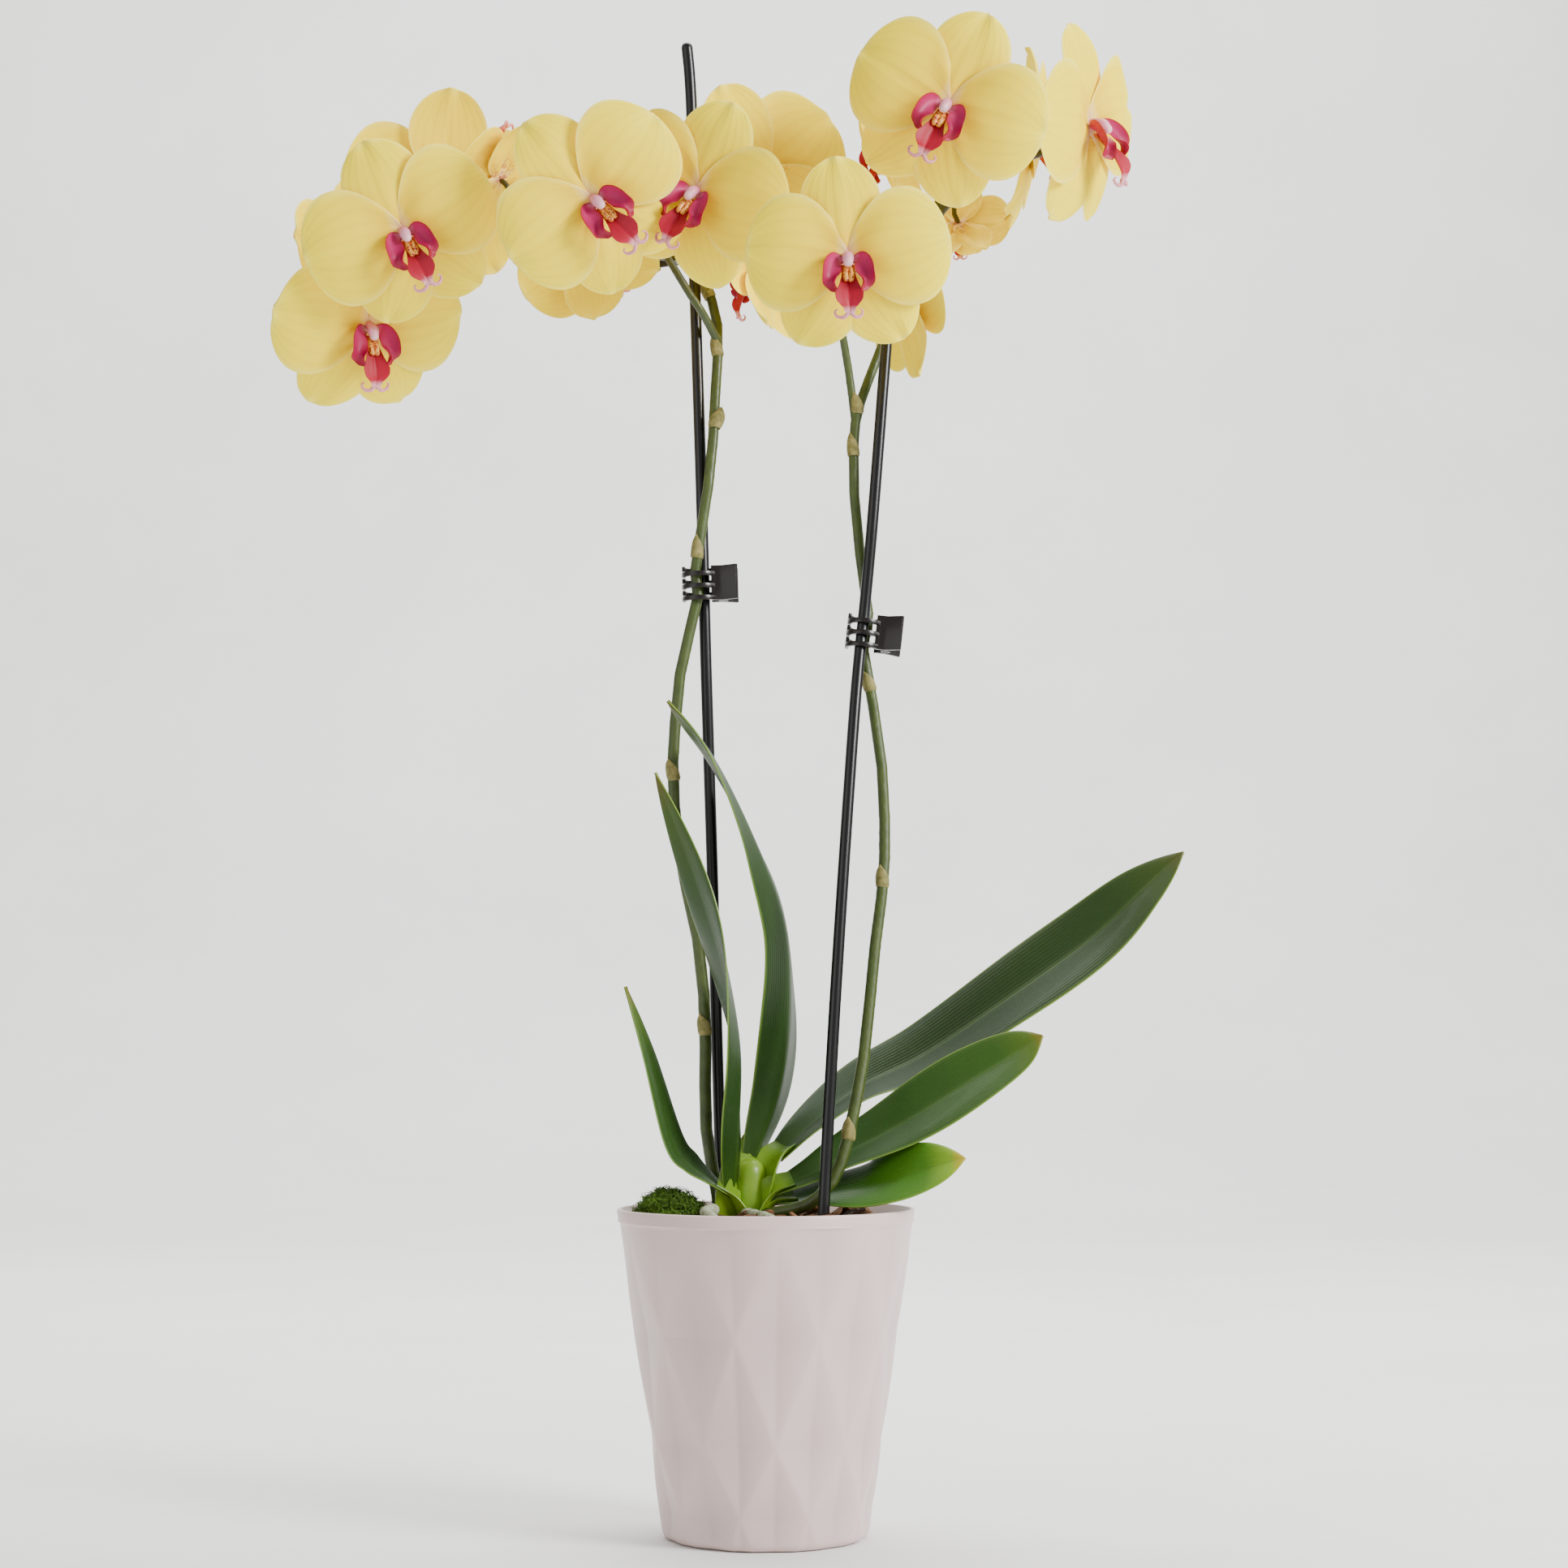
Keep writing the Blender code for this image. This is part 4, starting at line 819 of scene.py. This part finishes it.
class ORCHID_OT_leaves(bpy.types.Operator):
    """The leaves.  Point (s, t) is the centre line at t, plus s times the half width along the side
    way, plus the face way times (keel |s| width + a slow wave), so a leaf is folded at its base and
    opens towards its tip; the half width rises as a quarter sine and ends in a blunt arc."""
    bl_idname = "orchid.leaves"
    bl_label = "Leaves"

    def execute(self, context):
        thickness = context.scene.orchid.leaf_thickness
        for index, (node, values) in enumerate(LEAVES.items()):
            route, width, widest, base_face, tip_face, fresh, blunt = values
            v = 1 - (1 - np.linspace(0, 1, LEAF_ROWS)) ** 1.25
            line = smooth_route(route, 400)
            even = np.linspace(0, 1, len(line))
            line = np.column_stack([np.interp(v, even, line[:, k]) for k in range(3)]) * MM
            tangent = unit(np.gradient(line, axis=0))
            face = (1 - v)[:, None] * np.array(base_face) + v[:, None] * np.array(tip_face)
            side = unit(np.cross(tangent, face))
            face = unit(np.cross(side, tangent))
            reach = 0.5 * width * MM * outline(v, widest, 0.30, 1, blunt, 0.85)
            reach = np.maximum(reach, 0.25 * MM)[:, None]
            s, v = np.linspace(-1, 1, LEAF_COLUMNS), v[:, None]
            keel = (0.34 - 0.12 * v) * np.sqrt(s ** 2 + 0.012)
            wave = 0.035 * np.sin(9 * v + 2.2 * s + index) * s ** 2
            lift = (keel + wave - 0.05 * np.abs(s) ** 3) * reach
            grid = fit_to_node(shell(ribbon(line, side, face, s * reach, lift), thickness), node)
            build = Build("along", "across", "fresh")
            build.loops(grid, along=both_sides(v + 0 * s), across=both_sides(s + 0 * v), fresh=fresh)
            build.finish(f"{node}_blade", "leaf", "leaf", node)
        return {"FINISHED"}


def made_mesh(obj):
    """The mesh that a helper object's modifiers make; the helper is removed."""
    graph = bpy.context.evaluated_depsgraph_get()
    mesh = bpy.data.meshes.new_from_object(obj.evaluated_get(graph), depsgraph=graph)
    name = obj.name
    bpy.data.objects.remove(obj)
    if not len(mesh.polygons):
        raise RuntimeError(f"{name} came out empty")
    return mesh


def smooth_copy(node, voxel, rounds):
    """A copy of a CAD node's mesh, remade in even small quads and relaxed, as a new mesh."""
    obj = linked(f"{node}_copy", NODES[node].data.copy())
    remesh = obj.modifiers.new("remake", "REMESH")
    remesh.mode = "VOXEL"
    remesh.voxel_size = voxel
    relax = obj.modifiers.new("relax", "SMOOTH")
    relax.iterations = rounds
    relax.factor = 0.5
    return made_mesh(obj)


def stem_slice(points, near, height):
    """Centre and radius of the stem nearest to near (x, y) at a height."""
    some = points[np.abs(points[:, 2] - height) < 0.8 * MM]
    if not len(some):
        raise RuntimeError("no stem at that height")
    some = some[np.hypot(some[:, 0] - near[0], some[:, 1] - near[1]) < 9 * MM]
    centre = some.mean(0)
    return centre, np.hypot(some[:, 0] - centre[0], some[:, 1] - centre[1]).mean()


class ORCHID_OT_stems(bpy.types.Operator):
    """The flower stems, their node rings and bracts.  A stem is its CAD solid remade in small even
    quads and relaxed.  A ring is a tube whose radius swells by a sine; a bract is a small sheath
    that wraps the stem by an angle shrinking to its tip."""
    bl_idname = "orchid.stems"
    bl_label = "Flower stems"

    def execute(self, context):
        marks = {
            "spike_left": (((-28, 1), 0.212, "ring"), ((-40, -4), 0.321, "ring"), ((-28, -4), 0.416, "bract"),
                           ((-23, -1), 0.473, "bud"), ((-22, 3), 0.507, "ring"), ((-24, 8), 0.533, "bract")),
            "spike_right": (((35, -18), 0.168, "ring"), ((50, -3), 0.275, "ring"), ((48, 3), 0.360, "ring"),
                            ((38, 4), 0.462, "bract"), ((40, 4), 0.482, "ring")),
        }
        for node, places in marks.items():
            mesh = smooth_copy(node, 0.62 * MM, 4)
            points = mesh_points(mesh)
            start = 0.505 if node == "spike_left" else 0.50
            dark = np.clip((points[:, 2] - start) / 0.05, 0, 1)
            dark = np.clip(dark + 0.25 * ripple(*(points / 0.02).T, 9) * dark, 0, 1)
            shade = mesh.attributes.new("dark", "FLOAT", "POINT")
            shade.data.foreach_set("value", (dark * 0.9).astype(np.float32))
            finish_piece(f"{node}_skin", mesh, "stem", "stem", node)
            build = Build()
            for near, height, kind in places:
                centre, radius = stem_slice(points, np.array(near) * MM, height)
                upper, _ = stem_slice(points, centre, height + 5 * MM)
                way = unit(upper - centre)
                if kind == "ring":
                    t = np.linspace(-1, 1, 9)
                    build.loops(tube(centre + way * (t * 1.3 * MM)[:, None],
                                     radius + 0.05 * MM + 0.45 * MM * np.cos(t * np.pi / 2), 20))
                length, bulge, outward = {"ring": (8.0, 0.5, -0.6), "bract": (10.0, 0.5, -0.6),
                                          "bud": (9.0, 2.2, 1.0)}[kind]
                out = square_to(unit(np.array([outward, -0.8, 0.0])), way)
                turn = np.cross(way, out)
                v = np.linspace(0, 1, 14)[:, None]
                u = np.linspace(-1, 1, 11)[None]
                wrap = 1.9 * u * (1 - v ** 1.5) + 0.03 * u
                push = radius + 0.35 * MM + bulge * MM * np.sin(np.pi * v * 0.8) * (1 - 0.5 * u ** 2)
                sheet = (centre + way * (length * MM * v)[..., None]
                         + (push * np.cos(wrap))[..., None] * out + (push * np.sin(wrap))[..., None] * turn)
                build.loops(shell(sheet, 0.5 * MM))
            build.finish(f"{node}_bracts", "bract", "stem")
        return {"FINISHED"}


class ORCHID_OT_stakes(bpy.types.Operator):
    """The stakes: a round tube along the middle of its CAD tube's rings, with rounded ends."""
    bl_idname = "orchid.stakes"
    bl_label = "Stakes"

    def execute(self, context):
        for node in ("stake_left", "stake_right"):
            points = np.unique(np.round(node_points(node), 6), axis=0)
            points = points[np.argsort(points[:, 2])]
            middle = np.array([part.mean(0) for part in np.array_split(points, len(points) // 8)])
            radius = np.hypot(*(points[:8, :2] - points[:8, :2].mean(0)).T).mean()
            line = smooth_route(middle, 240)
            build = Build()
            build.loops(rounded_tube(line, radius, 28))
            build.finish(f"{node}_rod", "stake", "stake", node)
        return {"FINISHED"}


class ORCHID_OT_clips(bpy.types.Operator):
    """The claw clips: each CAD jaw and pin copied, its flat faces merged and its edges rounded."""
    bl_idname = "orchid.clips"
    bl_label = "Claw clips"

    def execute(self, context):
        for node in [name for name in NODES if name.startswith("clip_")]:
            shape = bmesh.new()
            shape.from_mesh(NODES[node].data)
            bmesh.ops.remove_doubles(shape, verts=shape.verts, dist=0.01 * MM)
            bmesh.ops.dissolve_limit(shape, angle_limit=math.radians(4), verts=shape.verts, edges=shape.edges)
            mesh = bpy.data.meshes.new(f"{node}_body")
            shape.to_mesh(mesh)
            shape.free()
            obj = linked(f"{node}_copy", mesh)
            edge = obj.modifiers.new("rounded edges", "BEVEL")
            edge.width = 0.22 * MM
            edge.segments = 2
            edge.limit_method = "ANGLE"
            edge.angle_limit = math.radians(38)
            finish_piece(f"{node}_body", made_mesh(obj), "clip", "clip", node, body=NODES[node]["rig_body"])
        return {"FINISHED"}


def bloom_frame(key):
    """Hub, the right, up and facing ways as rows, and half span of a bloom, from its two CAD nodes: the hub
    is where most faces meet, up is away from the drop of the lip."""
    node = f"bloom_{key}_petals"
    mesh = NODES[node].data
    points = node_points(node)
    _, same = np.unique(np.round(points, 6), axis=0, return_inverse=True)
    same = same.reshape(-1)
    mesh.calc_loop_triangles()
    corners = np.empty(len(mesh.loop_triangles) * 3, np.int32)
    mesh.loop_triangles.foreach_get("vertices", corners)
    meeting = np.bincount(same[corners])
    poles = np.argsort(meeting)[-2:]
    ends = np.array([points[same == pole].mean(0) for pole in poles])
    hub = ends.mean(0)
    lip = node_points(f"bloom_{key}_lip").mean(0)
    facing = unit(ends[1] - ends[0])
    if (lip - hub) @ facing < 0:
        facing = -facing
    up = square_to(hub - lip, facing)
    half = np.linalg.norm(points - hub, axis=1).max()
    return hub, np.stack([np.cross(up, facing), up, facing]), half


def make_petals(key, number, half, place, settings):
    """The two petals and the three sepals of a bloom."""
    rng = np.random.default_rng(100 + number)
    petals, sepals = (Build("along", "rim", "vein", "dash") for _ in range(2))
    for direction, length, width, widest, base, blunt, root, lean, kind in LOBES.values():
        turned = math.radians(direction + rng.normal(0, 2.0))
        length = length * half * rng.uniform(0.97, 1.01)
        width = width * half * rng.uniform(0.97, 1.03)
        v = (1 - (1 - np.linspace(0, 1, 34)) ** 1.7)[:, None]
        s = np.linspace(-1, 1, 23)[None]
        wide = kind == PETAL
        reach = width * outline(v, widest, base, 0.75 if wide else 0.9, blunt, 0.55)
        reach = np.maximum(reach, 0.2 * MM)
        side = s * reach
        q = side / width
        wave = settings.petal_ruffle * np.sin(5.0 * np.arctan2(q * 0.8, 1.2 - v) + rng.uniform(0, 6.28))
        wave = wave * np.maximum(np.abs(s), v) ** 4
        bow = (0.07 if wide else 0.05) * half * np.sin(np.pi * v) - 0.03 * half * v ** 3
        beyond = length * np.maximum(v - 0.6, 0)
        back = -(0.10 if wide else 0.13) * (side ** 2 + 1.5 * beyond ** 2) / width
        groove = np.exp(-(side / (1.5 * MM)) ** 2) * np.sin(np.pi * np.minimum(v * 1.25, 1))
        groove = (-0.9 if wide else 0.54) * MM * groove
        crease = 0.7 * MM * np.sin(6.5 * s + 0.6 * kind) * np.exp(-((v - 0.22) / 0.16) ** 2)
        sag = crease + 0.8 * MM * ripple(v * 3, q * 2, 0, 200 + number * 7 + int(direction)) * v
        height = root * MM + lean * half * v + bow + back + groove + wave + sag
        radial = length * v - 0.03 * half * q ** 2 * v
        sheet = turned_about_z(np.stack([radial, side, height], axis=-1), turned)
        edge = np.maximum(np.abs(s) ** 8, v ** 14)
        (petals if wide else sepals).loops(
            place(shell(sheet, settings.petal_thickness)), along=both_sides(v + 0 * s),
            rim=both_sides(np.clip((edge - 0.3) / 0.7, 0, 1)), vein=both_sides(s * (9 + 9 * v)),
            dash=both_sides(np.clip(1 - v / 0.28, 0, 1) * (kind == LOWER_SEPAL) + 0 * s))
    node = f"bloom_{key}_petals"
    petals.finish(f"bloom_{key}_petal_pair", "petal", "petal", node)
    sepals.finish(f"bloom_{key}_sepals", "petal", "petal")


def make_lip(key, number, half, place):
    """The lip with its side lobes, front lobe and tendrils, the column and the callus."""
    rng = np.random.default_rng(500 + number)
    unit_mm = half / LIP_HALF_SPAN * MM
    lip = Build("along", "rim", "front")
    v = np.linspace(0, 1, 26)[:, None]
    s = np.linspace(-1, 1, 15)[None]
    along = both_sides(v + 0 * s)
    for hand in (-1, 1):
        line = smooth_route([(2.2 * hand, -1.0, 2.0), (6.0 * hand, -1.2, 6.0), (7.6 * hand, -6.0, 10.5),
                             (5.2 * hand, -13.5, 13.5)], len(v))
        tangent = unit(np.gradient(line, axis=0))
        way = square_to(unit(np.array([0.35 * hand, 0.8, -0.35])), tangent)
        face = np.cross(way, tangent) * hand
        share = np.maximum(outline(v, 0.6, 0.35, 1, 2.2, 0.55), 0.15 / 4.1)
        sheet = ribbon(line, way, face, s * 4.1 * share, -2.2 * s ** 2 * share)
        rim = both_sides(np.maximum(np.abs(s) ** 6, v ** 10))
        lip.loops(place(shell(sheet * unit_mm, 0.7 * MM)), along=along, rim=rim)
    line = smooth_route([(0, -3.5, 3.5), (0, -7.5, 8.0), (0, -12.5, 12.5), (0, -18.0, 15.5),
                         (0, -23.0, 15.5)], len(v))
    width = np.interp(v, (0, 0.28, 0.42, 0.60, 0.70, 0.84, 0.93, 1),
                      (2.6, 3.0, 4.0, 5.9, 5.6, 2.6, 2.0, 1.4))
    tangent = unit(np.gradient(line, axis=0))
    way = np.array([1.0, 0.0, 0.0]) + 0 * tangent
    face = np.cross(way, tangent)
    face = np.where(face[:, 2:] < 0, -face, face)
    fold = 0.30 * s ** 2 * width - 0.5 * np.exp(-(s / 0.2) ** 2)
    sheet = ribbon(line, way, face, s * width, fold)
    lip.loops(place(shell(sheet * unit_mm, 0.9 * MM)), along=along, front=1.0)
    for hand in (-1, 1):
        curl = hand * rng.uniform(0.9, 1.15)
        line = smooth_route([(0.5 * hand, -22.0, 15.4), (2.6 * hand, -23.8, 15.6),
                             (4.8 * curl, -23.4, 14.8), (5.6 * curl, -21.6, 14.0),
                             (4.7 * curl, -20.6, 14.5)], 24)
        lip.loops(place(rounded_tube(line * unit_mm, np.linspace(1.0, 0.3, 24) * unit_mm, 10, 3)),
                  along=0.89, front=1.0)
    lip.finish(f"bloom_{key}_lip_lobes", "lip", "lip", f"bloom_{key}_lip")
    middle = Build("along")
    line = smooth_route([(0, 0.2, 0.5), (0, 0.8, 3.5), (0, 0.3, 6.5), (0, -1.6, 8.8)], 20)
    swell = np.interp(np.linspace(0, 1, 20), [0, 0.4, 0.75, 1], [2.0, 2.0, 2.5, 2.0])
    grid = rounded_tube(line * unit_mm, swell * unit_mm, 20, 5)
    middle.loops(place(grid), along=np.linspace(0, 1, len(grid))[:, None])
    middle.finish(f"bloom_{key}_column", "column", "lip")
    callus = Build()
    for hand in (-1, 1):
        line = smooth_route([(0.9 * hand, -4.5, 6.5), (1.3 * hand, -6.5, 9.5),
                             (1.0 * hand, -8.5, 11.0)], 8)
        callus.loops(place(rounded_tube(line * unit_mm, 1.25 * unit_mm, 12, 4)))
    callus.finish(f"bloom_{key}_callus", "callus", "lip")


class ORCHID_OT_blooms(bpy.types.Operator):
    """The blooms.  A lobe's point (s, t) lies at radius t times its length and s times its half width
    to the side, raised by lean t + a bow sin(pi t), less a midrib groove, less a back-curve s squared,
    plus edge waves; the half width rises as a sine and ends in a blunt arc.  Lip lobes are such sheets
    along curved lines, the column is a rounded tube and the tendrils are thin tapering tubes."""
    bl_idname = "orchid.blooms"
    bl_label = "Blooms"

    def execute(self, context):
        keys = sorted(name[6:8] for name in NODES if name.startswith("bloom_") and name.endswith("_petals"))
        for number, key in enumerate(keys):
            hub, ways, half = bloom_frame(key)

            def place(local):
                return local @ ways + hub

            make_petals(key, number, half, place, context.scene.orchid)
            make_lip(key, number, half, place)
        return {"FINISHED"}


class ORCHID_OT_stage(bpy.types.Operator):
    """The studio: a pale floor that curves up behind, large soft lights and the camera."""
    bl_idname = "orchid.stage"
    bl_label = "Stage"

    def execute(self, context):
        scene = context.scene
        across = 9
        x = np.linspace(-FLOOR_HALF_WIDTH, FLOOR_HALF_WIDTH, across)
        a = np.linspace(0, np.pi / 2, 14)
        y = np.concatenate([[FLOOR_FRONT], FLOOR_BEND + FLOOR_ROUND * np.sin(a), [FLOOR_BEND + FLOOR_ROUND]])
        z = np.concatenate([[0.0], FLOOR_ROUND * (1 - np.cos(a)), [WALL_TOP]]) - 0.2 * MM
        top = np.stack(np.broadcast_arrays(x[None], y[:, None], z[:, None]), axis=-1)
        i, j = np.meshgrid(np.arange(len(y) - 1), np.arange(across - 1), indexing="ij")
        corner = i * across + j
        quads = np.stack([corner, corner + 1, corner + across + 1, corner + across], axis=-1)
        mesh = bpy.data.meshes.new("studio_floor")
        mesh.from_pydata(top.reshape(-1, 3).tolist(), [], quads.reshape(-1, 4).tolist())
        mesh.materials.append(look("floor"))
        mesh.shade_smooth()
        floor = linked("studio_floor", mesh)
        world = bpy.data.worlds.new("studio air")
        world.use_nodes = True
        sky = world.node_tree.nodes["Background"]
        sky.inputs["Color"].default_value = linear("#FFFFFF")
        sky.inputs["Strength"].default_value = AIR_STRENGTH
        scene.world = world
        plant, wall = (0, 0, 0.35), (0, 3.4, 0.9)
        lamps = (("key", (1.35, -0.85, 1.05), plant, 0.6, 1.38),
                 ("fill", (-1.3, -1.2, 0.6), plant, 1.4, 0.20), ("top", (0.1, 0.3, 1.7), plant, 1.0, 0.45),
                 ("backdrop", (0, 0.9, 2.6), wall, 2.5, 4.6))
        for name, place, aim, size, share in lamps:
            lamp = bpy.data.lights.new(f"{name} light", "AREA")
            lamp.size = size
            lamp.energy = share * scene.orchid.light_power
            obj = linked(f"{name} light", lamp)
            obj.location = place
            obj.rotation_euler = (Vector(aim) - obj.location).to_track_quat("-Z", "Y").to_euler()
        camera = bpy.data.cameras.new("camera")
        camera.lens = CAMERA_LENS
        camera.sensor_width = CAMERA_SENSOR
        camera.clip_start = 0.05
        seen = linked("camera", camera)
        seen.location = CAMERA_PLACE
        seen.rotation_euler = (math.radians(90 + CAMERA_TILT), 0, 0)
        scene.camera = seen
        return {"FINISHED"}


class ORCHID_PT_panel(bpy.types.Panel):
    """Sidebar panel with the settings and one button per group of pieces."""
    bl_idname = "ORCHID_PT_panel"
    bl_label = "Potted Orchid"
    bl_space_type = "VIEW_3D"
    bl_region_type = "UI"
    bl_category = "Orchid"

    def draw(self, context):
        for name in OrchidSettings.__annotations__:
            self.layout.prop(context.scene.orchid, name)
        for name in STEPS:
            self.layout.operator(f"orchid.{name}")


STEPS = ("pot", "leaves", "substrate", "stems", "stakes", "clips", "blooms", "stage")
CLASSES = (OrchidSettings, ORCHID_OT_pot, ORCHID_OT_substrate, ORCHID_OT_leaves, ORCHID_OT_stems,
           ORCHID_OT_stakes, ORCHID_OT_clips, ORCHID_OT_blooms, ORCHID_OT_stage, ORCHID_PT_panel)


def register():
    for kind in CLASSES:
        bpy.utils.register_class(kind)
    bpy.types.Scene.orchid = bpy.props.PointerProperty(type=OrchidSettings)


def unregister():
    del bpy.types.Scene.orchid
    for kind in reversed(CLASSES):
        bpy.utils.unregister_class(kind)


def main():
    register()
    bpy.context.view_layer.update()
    for name in STEPS:
        if getattr(bpy.ops.orchid, name)() != {"FINISHED"}:
            raise RuntimeError(f"{name} did not finish")


if __name__ == "__main__":
    main()
